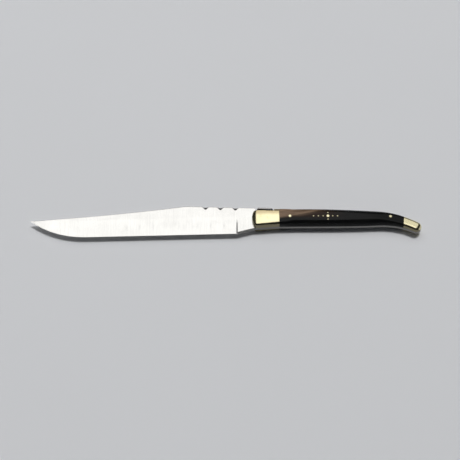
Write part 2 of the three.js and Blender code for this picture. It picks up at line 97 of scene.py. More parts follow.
# Noise of the finishes, in turns per metre along three directions
STEEL_LINES = (5200.0, 70.0, 70.0)
STEEL_CLOUD = (60.0, 90.0, 90.0)
BOSS_LINES = (900.0, 2400.0, 900.0)
BRASS_LINES = (300.0, 3600.0, 3600.0)
BRASS_CLOUD = (170.0, 170.0, 170.0)
HORN_STREAKS = (26.0, 620.0, 300.0)
HORN_FIBRES = (90.0, 3200.0, 1500.0)
HORN_PATCHES = (45.0, 120.0, 60.0)
PAPER_TOOTH = (1500.0, 1500.0, 1500.0)
PAPER_CLOUD = (6.0, 6.0, 6.0)

# Figure of the finishes: a pair holds where a form sets in and where it is full
BACK_SHADE_WANDER = 2 * MM  # how far the brass's cloudiness moves the border of its painted shade towards the back
BACK_SHADE_BORDER = (-1 * MM, 1 * MM)  # round the end of that painted shade
GRAIN_SLANT = 0.165  # climb of the horn's streaks towards the back
BROWN_SLANT = 0.13  # climb of the brown's lower border
BROWN_BORDER = (-2.6 * MM, 0.2 * MM)  # across the handle, at the bolsters
BROWN_FADE = (0.05, 0.95)  # shares of the brown's length
BROWN_END_WANDER = 12 * MM
BROWN_BORDER_WANDER = 4 * MM
DEEP_BORDER = (-3 * MM, 0.5 * MM)  # lower border of the deep brown
DEEP_FADE = (0.6, 1.1)  # shares of the brown's length
TAN_LOWER = (-4.6 * MM, -3.4 * MM)  # borders of the long tan streak, across the grain
TAN_UPPER = (-2.8 * MM, -1.6 * MM)
TAN_START = (6 * MM, 16 * MM)  # its ends, behind the bolsters
TAN_END = (26 * MM, 36 * MM)
TAN_WANDER = 1.5 * MM
PAPER_DIM = 0.96  # darker spots of the paper, as a share of its colour
LINE_DEPTH = 0.02 * MM  # of the bumps in the metals
FIBRE_DEPTH = 0.03 * MM  # in the horn
TOOTH_DEPTH = 0.05 * MM  # in the paper

# Lights and camera
SOFTBOXES = {  # step from the camera's target, then width and height, in metres
    "key": ((-0.1235, 0.8745, 2.69), (1.409, 1.99)),
    "wide": ((-0.1, 0.616, 1.477), (2.4, 1.42)),
    "tip": ((-0.333, 0.238, 0.57), (0.08, 0.2)),
}
GLOW_POWER = 4  # power of a softbox for each unit of its glow and its area
TO_LAMP = (0.12, 0.22, 1.0)  # direction from the knife to the lamp overhead
SENSOR_WIDTH = 36.0  # in millimetres
NEAR_CLIP = 10 * MM


# Properties


def property_kind(make, scale=None, **fixed):
    """A maker of properties of one kind. A scale turns the default's own unit into Blender's."""

    def made_property(name, default, description):
        value = default if scale is None else default * scale
        return make(name=name, description=description, default=value, **fixed)

    return made_property


length = property_kind(FloatProperty, MM, precision=5, unit="LENGTH")  # given in millimetres, kept in metres
angle = property_kind(FloatProperty, math.pi / 180, subtype="ANGLE")  # given in degrees, kept in radians
number = property_kind(FloatProperty, precision=3)
lens = property_kind(FloatProperty, unit="CAMERA")  # in millimetres
count = property_kind(IntProperty, min=0)
colour = property_kind(FloatVectorProperty, size=3, subtype="COLOR", min=0.0, max=1.0)  # linear
share = property_kind(FloatProperty, min=0.0, max=1.0, subtype="FACTOR")


def pointer(settings, name):
    """A property for a group of settings, which the group's docstring describes."""
    return PointerProperty(type=settings, name=name, description=settings.__doc__.rstrip("."))


class KnifeBlade(bpy.types.PropertyGroup):
    """Outline, section, scallops and hollows of the blade."""

    length: length("Length", 180, "Tip to the bolsters' front face")
    spine_at_bolster: length("Spine at bolsters", 9.85, "Height of the spine over the axis at the bolsters")
    hump_from_bolster: length("Hump from bolsters", 56, "Where the straight spine turns into the long clip")
    hump_height: length("Hump height", 11.6, "Height of that turn over the axis")
    hump_softening: length("Hump softening", 0.9, "Rounding of that turn")
    clip_sag: length("Clip sag", 1.3, "Hollow of the clip below its chord")
    tip_depth: length("Tip depth", 1.6, "The tip lies this far below the axis")
    tip_land: length("Tip land", 0.15, "Blunt end of the tip")
    heel_from_bolster: length("Heel from bolsters", 15.4, "Where the cutting edge ends")
    heel_depth: length("Heel depth", 12.7, "Depth of the edge below the axis at the heel")
    heel_tooth: length("Heel tooth", 0.45, "Extra depth of the heel's corner")
    belly_length: length("Belly length", 48, "Stretch before the tip where the edge curves up")
    belly_depth: length("Belly depth", 15.75, "Depth of the edge where that curve starts")
    belly_power: number("Belly power", 2.32, "How late the belly rises")
    spine_step_gap: length("Spine step gap", 0.5, "The spine's step down ends this far before the bolsters")
    spine_step_length: length("Spine step length", 1.2, "Length of the step from the spine down to the tang")
    thickness: length("Thickness", 2.8, "Steel at the heel, the tang and the rear spine")
    tip_thickness: length("Tip thickness", 1.8, "What the steel tapers to at the tip")
    bevel_height: length("Ground face", 14, "Height of the ground face, up from the edge")
    edge_bevel_height: length("Sharpened face", 0.9, "Height of the narrow sharpened face")
    edge_bevel_thickness: length("Edge shoulder", 0.3, "Steel left at the top of the sharpened face")
    edge_flat: length("Edge width", 0.1, "Blunt width of the edge")
    plunge_length: length("Plunge length", 1.2, "Ramp from the ground face up to the full heel")
    corner: length("Corner", 0.3, "Rounding of the spine's and the heel's corners")
    tip_corner_share: share("Tip corner share", 0.12, "Most of the height that a corner takes near the tip")
    tip_bevel_share: share("Tip bevel share", 0.25, "Most of the height that the sharpened face takes there")
    scallops: count("Scallops", 3, "Filed scallops on the spine")
    scallop_pitch: length("Scallop pitch", 11.9, "From one scallop to the next")
    scallop_width: length("Scallop width", 6, "Width of a scallop along the spine")
    scallop_depth: length("Scallop depth", 0.9, "Depth of a scallop")
    facet_height: length("Facet height", 1.5, "The file's slanted facet reaches this far down each side")
    facet_inset: length("Facet inset", 0.5, "And takes this much off the side at the top")
    rear_scallop: length("Rear scallop", 16.8, "The rear scallop's distance from the bolsters")
    # Painted shade: the scallops' facets and the steel below them are darkened, where shade falls
    painted_shade_reach: length("Grime reach", 0.2, "How far the facets' grime fades out below them")
    # Painted shade: the blunt belly of the tang is darkened, as if it lay in shade
    belly_painted_shade: share("Belly film", 0.8, "Dull film on the steel's blunt belly, from the heel to the butt")
    hollows: count("Hollows", 9, "Shallow hollows in each ground face")
    hollow_pitch: length("Hollow pitch", 10.6, "From one hollow to the next")
    hollow_width: length("Hollow width", 9, "Width of a hollow along the blade")
    hollow_height: length("Hollow height", 12, "Height of a hollow")
    hollow_depth: length("Hollow depth", 0.28, "Depth of a hollow")
    hollow_above_edge: length("Hollow above edge", 1.3, "Steel between a hollow and the edge")
    rear_hollow: length("Rear hollow", 6.6, "The rear hollow's distance from the heel")
    hollow_rim: share("Hollow rim", 0.1, "Softness of a hollow's rim, as a share of its depth")


class KnifeHandle(bpy.types.PropertyGroup):
    """Axis and section of the handle, and where its pieces meet."""

    length: length("Length", 130, "Bolsters' front face to the butt")
    bend_radius: length("Bend radius", 67, "The rear stretch curves down on this radius")
    bend_length: length("Bend length", 35, "Length of that stretch along X")
    bolster_length: length("Bolster length", 18.2, "Length of the bolsters behind their front face")
    bolster_nose: length("Bolster nose", 3.5, "The sloping front reaches this far over the heel")
    front_width: length("Bolster front width", 16, "Edge to back at the bolsters' front")
    rear_width: length("Bolster rear width", 15, "Edge to back at the bolsters' rear")
    bolster_thickness: length("Bolster thickness", 12.2, "Side to side before the flats are ground")
    swell_from_bolster: length("Swell from bolsters", 12, "Where the scales are widest")
    swell_width: length("Swell width", 15.7, "Edge to back at the swell")
    swell_thickness: length("Swell thickness", 12.8, "Side to side at the swell")
    bend_width: length("Bend width", 12.8, "Edge to back where the bend starts")
    bend_thickness: length("Bend thickness", 11.8, "Side to side where the bend starts")
    cap_length: length("Cap length", 13.4, "Butt caps, along X")
    cap_width: length("Cap width", 9.2, "Edge to back at the seam with the scales")
    cap_thickness: length("Cap thickness", 9.6, "Side to side at that seam")
    cap_seam_tilt: angle("Cap seam tilt", 6, "The seam leans back by this angle")
    butt_width: length("Butt width", 8.2, "Edge to back at the butt")
    butt_thickness: length("Butt thickness", 8.6, "Side to side at the butt")
    butt_rounding: length("Butt rounding", 4, "Length of the domed end")
    flat_thickness: length("Flat thickness", 12, "The sides are ground flat to this")
    flat_rounding: length("Flat rounding", 0.25, "Softness of the line where a flat starts")
    front_drop: length("Front drop", 0.5, "The axis starts this far below its straight run")
    swell_rise: length("Swell rise", 0.5, "And climbs this far above it at the swell")
    front_squareness: number("Front squareness", 6.5, "Exponent of the rounded square at the bolsters' front")
    rear_squareness: number("Rear squareness", 4.5, "The same at the bolsters' rear")
    scale_squareness: number("Scale squareness", 2.4, "The same from the swell to the bend")
    cap_squareness: number("Cap squareness", 3.8, "The same at the butt caps")
    nose_wall: length("Nose wall", 2.6, "The sloping front ends in an upright wall this high over the steel")
    # Painted shade: the brass darkens over the turn of its side to the belly, where little light falls
    painted_shade_from: angle("Tarnish from", 5, "The brass tarnishes from this turn of its side to the belly")
    painted_shade_full: angle("Tarnish full", 22, "And is all tarnished from this turn")
    nose_power: number("Nose power", 1.05, "How far the nose bulges over a straight slope, which is 1")
    fit: length("Fit", 0.06, "Glue or solder line between two pieces")
    easing: length("Easing", 0.14, "Broken edges where two pieces meet")


class KnifePins(bpy.types.PropertyGroup):
    """Rivets through the handle and the small pins of the cross."""

    diameter: length("Diameter", 2.5, "Rivets through the handle")
    height: length("Height", 0.2, "The row lies this far above the axis's straight run")
    bolster_inset: length("Bolster inset", 5, "From either end of a bolster")
    scale_inset: length("Scale inset", 8.3, "Front rivet of the scales, from the bolsters")
    rear_inset: length("Rear inset", 10.4, "Rear rivet of the scales, from the seam with the butt caps")
    centre_from_bolster: length("Centre from bolsters", 38.4, "Centre of the cross, from the bolsters")
    butt_from_seam: length("Butt rivet", 5, "Butt rivet, from the seam with the scales")
    cross_diameter: length("Cross diameter", 1.2, "Small pins of the cross")
    cross_depth: length("Cross depth", 3, "How deep they go")
    cross_pitch: length("Cross pitch", 3.8, "Along the handle")
    cross_arm: length("Cross arm", 3, "Across the handle")
    cross_fore: count("Cross fore", 3, "Small pins towards the blade")
    cross_rear: count("Cross rear", 2, "Small pins towards the butt")
    proud: length("Proud", 0.02, "A head's rim stands this far over the surface")
    crown: length("Crown", 0.05, "And its middle this much more, on the left side of a scale")
    clean_share: share("Clean share", 0.5, "A head in the horn is clean to this share of its radius")
    cross_tarnish: share("Cross tarnish", 0.75, "Least tarnish of the cross's small pins")


class KnifeBoss(bpy.types.PropertyGroup):
    """The long steel boss on the back of the bolsters, and its seat."""

    seat_depth: length("Seat depth", 2.2, "The seat is filed this far below the handle's back")
    seat_gap: length("Seat gap", 0.6, "The seat goes on this far behind the boss")
    length: length("Length", 13, "Along the handle")
    width: length("Head width", 8, "Across its head")
    tail_width: length("Tail width", 6.6, "Across its tail")
    corner: length("Corner", 1.6, "Radius of its corners in plan")
    height: length("Height", 4, "Over its seat")
    rounding: length("Rounding", 1.2, "Rounding of its rim")
    from_face: length("From face", 0.4, "Its front end, behind the bolsters' front face")
    grooves: count("Grooves", 3, "Filed lines across its tail")
    groove_pitch: length("Groove pitch", 1.5, "From one filed line to the next")
    groove_width: length("Groove width", 0.7, "Width of a filed line")
    groove_depth: length("Groove depth", 0.35, "Depth of a filed line")
    # Painted shade: the boss's walls are darkened up to this share of their height
    painted_shade_top: share("Grime top", 0.93, "The dark film on its walls reaches this share of their height")


class KnifeFinishes(bpy.types.PropertyGroup):
    """Colours and gloss of the steel, the brass and the horn."""

    steel: colour("Steel", (0.84, 0.83, 0.80), "Bare polished steel")
    steel_shade: colour("Steel shade", (0.74, 0.73, 0.70), "Steel in the streaks of its grind")
    steel_roughness: share("Steel roughness", 0.17, "Least roughness of the blade")
    # Painted shade: near-black colour for the scallops, the tang's belly and the boss's walls and filed lines
    painted_shade: colour("Grime", (0.014, 0.012, 0.011), "Dark film that filing leaves in the steel's corners")
    brass: colour("Brass", (0.90, 0.825, 0.53), "Polished brass")
    brass_shade: colour("Brass shade", (0.80, 0.66, 0.35), "Handled brass")
    # Painted shade on the belly of the bolsters and butt caps, and the tarnish of the pins
    brass_tarnish_and_painted_shade: colour("Brass tarnish", (0.225, 0.20, 0.13), "Tarnished brass on the belly")
    # Painted shade: the brass darkens towards the back, where its face turns from the light
    brass_painted_back_shade: colour("Brass tint", (0.56, 0.465, 0.28), "Brass that the torch tinted by the boss's seat")
    back_shade_start: length("Tint start", 2.6, "The tint starts at this height towards the back")
    back_shade_full: length("Tint full", 6.0, "And is full at this height")
    back_shade_end: length("Tint end", 46, "It ends at this place along the knife, behind the bolsters")
    brass_roughness: share("Brass roughness", 0.10, "Least roughness of the brass")
    horn_black: colour("Horn black", (0.0045, 0.0045, 0.0048), "Black horn")
    horn_brown: colour("Horn brown", (0.31, 0.205, 0.137), "Brown horn by the bolsters")
    horn_deep: colour("Horn deep", (0.022, 0.0105, 0.0045), "Deep brown between the brown and the black")
    horn_tan: colour("Horn tan", (0.40, 0.27, 0.17), "Light streaks in the brown")
    horn_sheen: colour("Horn sheen", (0.013, 0.015, 0.012), "Faint streaks in the black")
    horn_roughness: share("Horn roughness", 0.14, "Least roughness of the horn")
    brown_length: length("Brown length", 50, "The brown has faded to black this far behind the bolsters")


class KnifeStage(bpy.types.PropertyGroup):
    """Floor, lights and camera."""

    floor: colour("Floor", (0.80, 0.81, 0.83), "Pale paper floor")
    floor_size: length("Floor size", 6000, "Side of the floor")
    sweep: length("Sweep", 600, "Width of its border, which curves up")
    sweep_rise: length("Sweep rise", 1000, "Height that the border reaches")
    front_rise: length("Front rise", 2000, "Height that it reaches behind the camera")
    room: colour("Room", (0.020, 0.0205, 0.022), "Light from the room all round")
    key_glow: number("Key glow", 0.44, "Brightness of the softbox that the blade mirrors")
    wide_glow: number("Wide glow", 0.58, "Brightness of the broad softbox round it")
    tip_glow: number("Tip glow", 0.36, "Brightness of the small softbox that the tip mirrors")
    lamp_strength: number("Lamp strength", 1.34, "The lamp overhead, which casts the shadow")
    lamp_softness: angle("Lamp softness", 9, "Its width as seen from the knife")
    elevation: angle("Elevation", 61.4, "Camera's height over the horizon")
    distance: length("Distance", 972.8, "Camera to its target")
    focal_length: lens("Focal length", 96.1, "Camera's lens")
    target_x: length("Target along", -21.0, "The camera's target, from the bolsters' front face")
    target_y: length("Target across", -9.38, "The camera's target, from the handle's axis")


class KnifeSettings(bpy.types.PropertyGroup):
    """All settings of the knife."""

    blade: pointer(KnifeBlade, "Blade")
    handle: pointer(KnifeHandle, "Handle")
    pins: pointer(KnifePins, "Pins")
    boss: pointer(KnifeBoss, "Boss")
    finishes: pointer(KnifeFinishes, "Finishes")
    stage: pointer(KnifeStage, "Stage")


# Curves


def lerp(a, b, t):
    """a + (b - a) t."""
    return a + (b - a) * t


def smooth(t):
    """3t^2 - 2t^3, with t kept between 0 and 1."""
    t = np.clip(t, 0, 1)
    return t * t * (3 - 2 * t)


def soft_lower(a, b, rounding):
    """The lower of a and b, less (r - |a - b|)^2 / 4r where they are closer than the rounding r."""
    near = np.maximum(rounding - np.abs(a - b), 0)
    return np.minimum(a, b) - near * near / (4 * rounding)


def through(places, values):
    """A cubic Hermite curve through stations. Its slope at a station is the mean of the slopes of the two
    chords that meet there."""
    places, values = np.array(places, float), np.array(values, float)
    chord = np.diff(values) / np.diff(places)
    slope = np.concatenate([chord[:1], (chord[1:] + chord[:-1]) / 2, chord[-1:]])

    def curve(x):
        i = np.clip(np.searchsorted(places, x, side="right") - 1, 0, len(places) - 2)
        run = places[i + 1] - places[i]
        t = (x - places[i]) / run
        rise = values[i] + (values[i + 1] - values[i]) * (3 * t**2 - 2 * t**3)
        return rise + run * (slope[i] * (t**3 - 2 * t**2 + t) + slope[i + 1] * (t**3 - t**2))

    return curve


def eased_ends(run, step, easing, at_start, at_end):
    """Shares of a run and insets there: even steps, with a quarter circle of the easing's radius at each end
    that has a broken edge. Over that circle the place moves by r (1 - cos a), and the inset is
    r (1 - sin a)."""
    turn = np.linspace(0, math.pi / 2, CORNER_ROWS + 1)
    place, inset = easing * (1 - np.cos(turn)) / run, easing * (1 - np.sin(turn))
    middle = np.linspace(0, 1, max(int(run / step), 2) + 1)
    low, high = (easing / run if used else 0.0 for used in (at_start, at_end))
    inner = middle[(middle > low + LEAST_STEP / run) & (middle < 1 - high - LEAST_STEP / run)]
    start = (place, inset) if at_start else (np.zeros(1), np.zeros(1))
    end = (1 - place[::-1], inset[::-1]) if at_end else (np.ones(1), np.zeros(1))
    shares = np.concatenate([start[0], inner, end[0]])
    return shares, np.concatenate([start[1], np.zeros(len(inner)), end[1]])


# Forms of the knife


class HandleForm:
    """The handle's bent axis and its rounded section, as functions of the distance along the axis."""

    def __init__(self, size, steel, boss):
        self.size = size
        self.floor = steel / 2 + size.fit
        self.bend_start = size.length - size.bend_length
        self.end = self.along_at(size.length)
        self.seam = size.length - size.cap_length
        self.swell = size.bolster_length + size.swell_from_bolster
        self.height = through([0, self.swell, self.bend_start], [-size.front_drop, size.swell_rise, 0])
        places = [0, size.bolster_length, self.swell, self.bend_start, self.along_at(self.seam), self.end]
        self.width = through(places, [
            size.front_width, size.rear_width, size.swell_width,
            size.bend_width, size.cap_width, size.butt_width])
        self.thickness = through(places, [
            size.bolster_thickness, size.bolster_thickness, size.swell_thickness,
            size.bend_thickness, size.cap_thickness, size.butt_thickness])
        self.seat = self.back_at(boss.from_face + boss.length / 2, 0.0) - boss.seat_depth
        self.seat_end = boss.from_face + boss.length + boss.seat_gap

    def along_at(self, x):
        """Distance along the axis where it reaches x: straight at first, then R asin of the run over R."""
        turn = np.arcsin(np.maximum(x - self.bend_start, 0) / self.size.bend_radius)
        return np.minimum(x, self.bend_start) + self.size.bend_radius * turn

    def turn(self, along):
        """How far the axis has turned down."""
        return np.maximum(along - self.bend_start, 0) / self.size.bend_radius

    def place(self, along, lateral, height):
        """The axis's point, a step across it towards the back, and a height over the middle of the steel."""
        turn = self.turn(along)
        radius = self.size.bend_radius
        x = np.minimum(along, self.bend_start) + (radius + lateral) * np.sin(turn)
        drop = radius * (1 - np.cos(turn))
        y = self.height(np.clip(along, 0, self.bend_start)) - drop + lateral * np.cos(turn)
        return np.stack(np.broadcast_arrays(x, y, height), axis=-1)

    def locate(self, x, y):
        """The distance along the axis and the step across it that lead to a point of the plan."""
        turn = np.arctan2(np.maximum(x - self.bend_start, 0), y + self.size.bend_radius)
        bent = turn > 0
        along = np.where(bent, self.bend_start + self.size.bend_radius * turn, x)
        reach = np.hypot(x - self.bend_start, y + self.size.bend_radius) - self.size.bend_radius
        return along, np.where(bent, reach, y - self.height(np.clip(x, 0, self.bend_start)))

    def section(self, along, inset=0.0):
        """Half width, half thickness and exponent n of the rounded square |y/a|^n + |z/b|^n = 1. The halves
        shrink by sqrt(1 - t^2) in the domed butt. In the nose the width does so too, and the thickness falls
        to the nose's wall by (1 - t^p)^(1/p)."""
        size = self.size
        nose = np.clip(-along / size.bolster_nose, 0, 1)
        butt = np.clip((along - self.end + size.butt_rounding) / size.butt_rounding, 0, 1)
        dome = np.sqrt(1 - butt**2)
        inside = np.clip(along, 0, self.end)
        half_width = self.width(inside) / 2 * dome * np.sqrt(1 - nose**2)
        slope = (1 - nose**size.nose_power) ** (1 / size.nose_power)
        half_thickness = lerp(self.floor + size.nose_wall, self.thickness(inside) / 2 * dome, slope)
        front = np.clip(along / size.bolster_length, 0, 1)
        blend = smooth((along - size.bolster_length) / size.swell_from_bolster)
        scale = lerp(lerp(size.front_squareness, size.rear_squareness, front), size.scale_squareness, blend)
        rear = smooth((along - self.bend_start) / (self.along_at(self.seam) - self.bend_start))
        exponent = lerp(scale, size.cap_squareness, rear)
        return half_width - inset, half_thickness - inset, exponent

    def skin(self, along, inset=0.0):
        """Points of the outer skin, from the back's edge to the belly's by even angles of the rounded square.
        The height stops softly at the ground flat. Also gives the straightened places: along, across and
        height."""
        half_width, half_thickness, exponent = self.section(along, inset)
        start = np.arcsin(np.clip(self.floor / half_thickness, 0, 1) ** (exponent / 2))
        turn = lerp(start, math.pi - start, AROUND)
        lateral = half_width * np.sign(np.cos(turn)) * np.abs(np.cos(turn)) ** (2 / exponent)
        height = half_thickness * np.abs(np.sin(turn)) ** (2 / exponent)
        height = soft_lower(height, self.size.flat_thickness / 2 - inset, self.size.flat_rounding)
        height = np.maximum(height, self.floor)
        straight = np.stack(np.broadcast_arrays(along, lateral, height), axis=-1)
        return self.place(along, lateral, height), straight

    def surface_height(self, x, y):
        """Height of the skin over the middle of the steel, at a point of the plan."""
        along, lateral = self.locate(x, y)
        half_width, half_thickness, exponent = self.section(along)
        rest = np.clip(1 - np.abs(lateral / half_width) ** exponent, 0, 1)
        return soft_lower(half_thickness * rest ** (1 / exponent), self.size.flat_thickness / 2,
                          self.size.flat_rounding)

    def back_at(self, x, height):
        """Y of the handle's straight back at a height to either side of the middle of the steel."""
        half_width, half_thickness, exponent = self.section(x)
        rest = np.clip(1 - np.abs(height / half_thickness) ** exponent, 0, 1)
        return self.height(x) + half_width * rest ** (1 / exponent)

    def seam_along(self, gap):
        """Where each line of the skin meets the tilted seam plane, moved along X by a gap. It is found by
        Newton's steps along the axis."""
        tilt = self.size.cap_seam_tilt
        normal = np.array([math.cos(tilt), -math.sin(tilt)])
        start = self.along_at(self.seam)
        origin = self.place(start, 0.0, 0.0)[:2] + np.array([gap, 0.0])
        along = np.full_like(AROUND, start)
        for _ in range(SOLVE_STEPS):
            off = (self.skin(along)[0][..., :2] - origin) @ normal
            along = along - off / np.cos(self.turn(along) - tilt)
        return along

    def filed(self, points, along):
        """The same points, with what stands over the boss's seat filed down to it."""
        x, y, z = np.moveaxis(points, -1, 0)
        return np.stack([x, np.where(along <= self.seat_end, np.minimum(y, self.seat), y), z], axis=-1)

    def with_seat_end(self, along, inset):
        """Places along the handle and their insets, with two more that stand close to the end of the seat."""
        cut = self.seat_end + np.array([0.0, SEAT_WALL])
        clear = np.abs(along - self.seat_end) > LEAST_STEP
        along, inset = along[clear], inset[clear]
        at = np.searchsorted(along, cut)
        return np.insert(along, at, cut), np.insert(inset, at, 0.0)

    def half(self, along, inset, side):
        """Closed rings of one half of the handle: the skin from back to belly, then straight back along the
        steel. Along and inset have a row for each ring. Side is 1 on the left and -1 on the right."""
        skin, straight = self.skin(along, inset)
        skin = self.filed(skin, along)
        back = np.linspace(0, 1, INNER_ROWS + 1)[1:-1, None]

        def ring(points):
            inner = lerp(points[:, None, -1], points[:, None, 0], back)
            return np.concatenate([points, inner], axis=1) * np.array([1, 1, side])

        return ring(skin), ring(straight)

    def tarnish_and_painted_shade(self, straight):
        """Share of painted shade at straightened places: none on the back and the side, then rising over the
        turn to the belly, where little light falls. The turn is the angle of the section's normal, whose
        tangent is (|y|/a)^(n-1) / a over (|z|/b)^(n-1) / b."""
        along, across, height = np.moveaxis(straight, -1, 0)
        half_width, half_thickness, exponent = self.section(along)
        lean = np.clip(-across / half_width, 0, 1) ** (exponent - 1) / half_width
        upright = np.abs(height / half_thickness) ** (exponent - 1) / half_thickness
        turn = np.arctan2(lean, upright)
        return smooth((turn - self.size.painted_shade_from) / (self.size.painted_shade_full - self.size.painted_shade_from))


class BladeForm:
    """The blade's outline and section, as functions of the place along it, and the tang behind it."""

    def __init__(self, size, handle):
        self.size = size
        self.handle = handle
        self.belly_start = size.belly_length - size.length
        self.scallop_centres = -size.rear_scallop - np.arange(size.scallops) * size.scallop_pitch

    def notch(self, x):
        """Share of the scallops' depth at a place: cos^2 of the distance from the nearest one."""
        nearest = np.abs(x[:, None] - self.scallop_centres).min(axis=1)
        return np.cos(math.pi / 2 * np.minimum(nearest / (self.size.scallop_width / 2), 1)) ** 2

    def spine(self, x):
        """A straight line to the hump, then a chord to the tip less 4 s t (1 - t), the two rounded where they
        cross, less the scallops. At the bolsters it steps down to the boss's seat on a quarter ellipse."""
        size = self.size
        t = (x + size.hump_from_bolster) / (size.hump_from_bolster - size.length)
        clip = lerp(size.hump_height, -size.tip_depth, t) - 4 * size.clip_sag * t * (1 - t)
        straight = lerp(size.spine_at_bolster, size.hump_height, -x / size.hump_from_bolster)
        full = soft_lower(clip, straight, size.hump_softening) - size.scallop_depth * self.notch(x)
        step = np.clip((x + size.spine_step_gap) / size.spine_step_length + 1, 0, 1)
        return lerp(full, self.handle.seat, 1 - np.sqrt(1 - step**2))

    def straight_edge(self, x):
        """The edge's straight run, from the heel to the belly."""
        size = self.size
        t = (x + size.heel_from_bolster) / (self.belly_start + size.heel_from_bolster)
        return lerp(-size.heel_depth, -size.belly_depth, t)

    def edge(self, x):
        """The straight run plus the belly's rise t^p, and behind the heel a line up to the handle's belly.
        The heel's corner has a small tooth."""
        size = self.size
        rise = -size.tip_depth - self.straight_edge(-size.length)
        belly = rise * (np.maximum(self.belly_start - x, 0) / size.belly_length) ** size.belly_power
        tooth = size.heel_tooth * np.clip(1 - np.abs(x + size.heel_from_bolster) / size.plunge_length, 0, 1)
        foot = self.handle.place(0.0, -self.handle.section(0.0)[0], 0.0)[1]
        behind = lerp(foot, -size.heel_depth, -x / size.heel_from_bolster)
        return np.where(x > -size.heel_from_bolster, behind, self.straight_edge(x) + belly) - tooth

    def hollow(self, x, up, side):
        """Depth of the hollows: d (1 - u^2) (1 - v^2)^2, with u across a hollow and v along it, so that its
        long sides run straight and its ends run out softly. The rims of the sides are softened."""
        size = self.size
        first = -size.heel_from_bolster - size.rear_hollow - (0 if side > 0 else size.hollow_pitch / 2)
        nearest = np.clip(np.round((first - x) / size.hollow_pitch), 0, size.hollows - 1)
        across = (x - first + nearest * size.hollow_pitch) / (size.hollow_width / 2)
        height = (up - size.hollow_above_edge - size.hollow_height / 2) / (size.hollow_height / 2)
        run_out = np.clip(1 - height**2, 0, 1) ** 2
        bowl = 1 - across**2
        return -size.hollow_depth * run_out * soft_lower(-bowl, np.zeros_like(bowl), size.hollow_rim)

    def sections(self, x):
        """Rings of the blade, and the painted shade in its scallops. From the spine to the edge each side has
        a flat at full thickness, a ground face that thins evenly, less the hollows, and a narrow sharpened
        face. The spine's corners are rounded, and in the scallops they are filed to straight facets. The
        painted shade on those darkens them where shade falls, and fades out below them as exp(-depth /
        reach)."""
        size = self.size
        x = x[:, None]
        spine, edge = self.spine(x[:, 0])[:, None], self.edge(x[:, 0])[:, None]
        height = spine - edge
        taper = np.clip((-x - size.hump_from_bolster) / (size.length - size.hump_from_bolster), 0, 1)
        full = lerp(size.thickness, size.tip_thickness, taper) / 2
        heel = smooth((x + size.heel_from_bolster) / size.plunge_length + 0.5)
        corner = np.minimum(size.corner, height * size.tip_corner_share)
        ground = np.minimum(size.bevel_height, height - 2 * corner)
        top = lerp(full * ground / size.bevel_height, full, heel)
        shoulder = np.minimum(size.edge_bevel_height, height * size.tip_bevel_share)
        shoulder_half = lerp(np.minimum(size.edge_bevel_thickness / 2, top), top, heel)
        blunt = np.minimum(np.minimum(size.edge_flat, size.edge_bevel_thickness), top) / 2
        edge_half = lerp(blunt, top - np.minimum(corner, top / 2), heel)
        corner_half = np.minimum(corner, top / 2)

        notch = self.notch(x[:, 0])[:, None]
        down, inset = lerp(corner, size.facet_height, notch), lerp(corner_half, size.facet_inset, notch)
        flat = np.linspace(0, 1, FLAT_ROWS + 1)[:-1]
        face = np.linspace(0, 1, GROUND_ROWS + 1)[:-1]
        narrow = np.linspace(0, 1, EDGE_ROWS + 1)
        up = np.concatenate([lerp(height - down, ground, flat), lerp(ground, shoulder, face),
                             lerp(shoulder, 0, narrow)], axis=1)
        half = np.concatenate([top + 0 * flat, lerp(top, shoulder_half, face),
                               lerp(shoulder_half, edge_half, narrow)], axis=1)
        step = np.linspace(1, 0, CORNER_ROWS + 1)[:-1]
        turn = step * math.pi / 2
        round_up = height - down * lerp(1 - np.sin(turn), 1 - step, notch)
        round_half = top - inset * lerp(1 - np.cos(turn), step, notch)
        across = np.linspace(1, -1, CROWN_ROWS + 2)[1:-1]
        left = np.stack([edge + up, half - (1 - heel) * self.hollow(x, up, 1)], axis=-1)
        right = np.stack([edge + up, -half + (1 - heel) * self.hollow(x, up, -1)], axis=-1)[:, ::-1]
        rise = np.stack([edge + round_up, round_half], axis=-1)
        fall = np.stack([edge + round_up, -round_half], axis=-1)[:, ::-1]
        foot = np.stack([edge + 0 * across, edge_half * across], axis=-1)
        ring = np.concatenate([rise, left, foot, right, fall], axis=1)
        depth = np.maximum(spine - down - ring[..., 0], 0)
        # painted shade in the scallops, fading out below their facets
        painted_shade = notch * np.exp(-depth / size.painted_shade_reach)
        return np.concatenate([np.broadcast_to(x[..., None], ring[..., :1].shape), ring], axis=-1), painted_shade

    def tang(self, along):
        """Rings of the tang: a flat plate whose back and belly are filed to the handle's own round."""
        along = along[:, None]
        half = self.size.thickness / 2
        reach, thick, exponent = self.handle.section(along)

        def at(height, to_back):
            part = np.minimum(np.abs(height) / thick, TANG_SHARE)
            return self.handle.place(along, to_back * reach * (1 - part**exponent) ** (1 / exponent), height)

        turn = half * (np.arange(CORNER_ROWS) + 0.5) / (CORNER_ROWS + 0.5)
        rise = self.handle.filed(at(turn, 1), along)
        side = np.linspace(0, 1, FLAT_ROWS + GROUND_ROWS + EDGE_ROWS + 1)[:, None]
        plate = lerp(self.handle.filed(at(half, 1), along), at(half, -1), side)
        foot = at(np.linspace(half, -half, CROWN_ROWS + 2)[1:-1], -1)
        return np.concatenate([rise, plate, foot, plate[:, ::-1] * MIRROR, rise[:, ::-1] * MIRROR], axis=1)

    def painted_shade_band(self, x):
        """Share of painted shade on the rings of the blade and the tang, which darkens the blunt belly behind
        the heel alone."""
        side = CORNER_ROWS + FLAT_ROWS + GROUND_ROWS + EDGE_ROWS
        belly = np.repeat([0.0, 1.0, 0.0], [side, CROWN_ROWS + 2, side])
        behind = smooth((x + self.size.heel_from_bolster) / self.size.plunge_length)
        return self.size.belly_painted_shade * behind[:, None] * belly

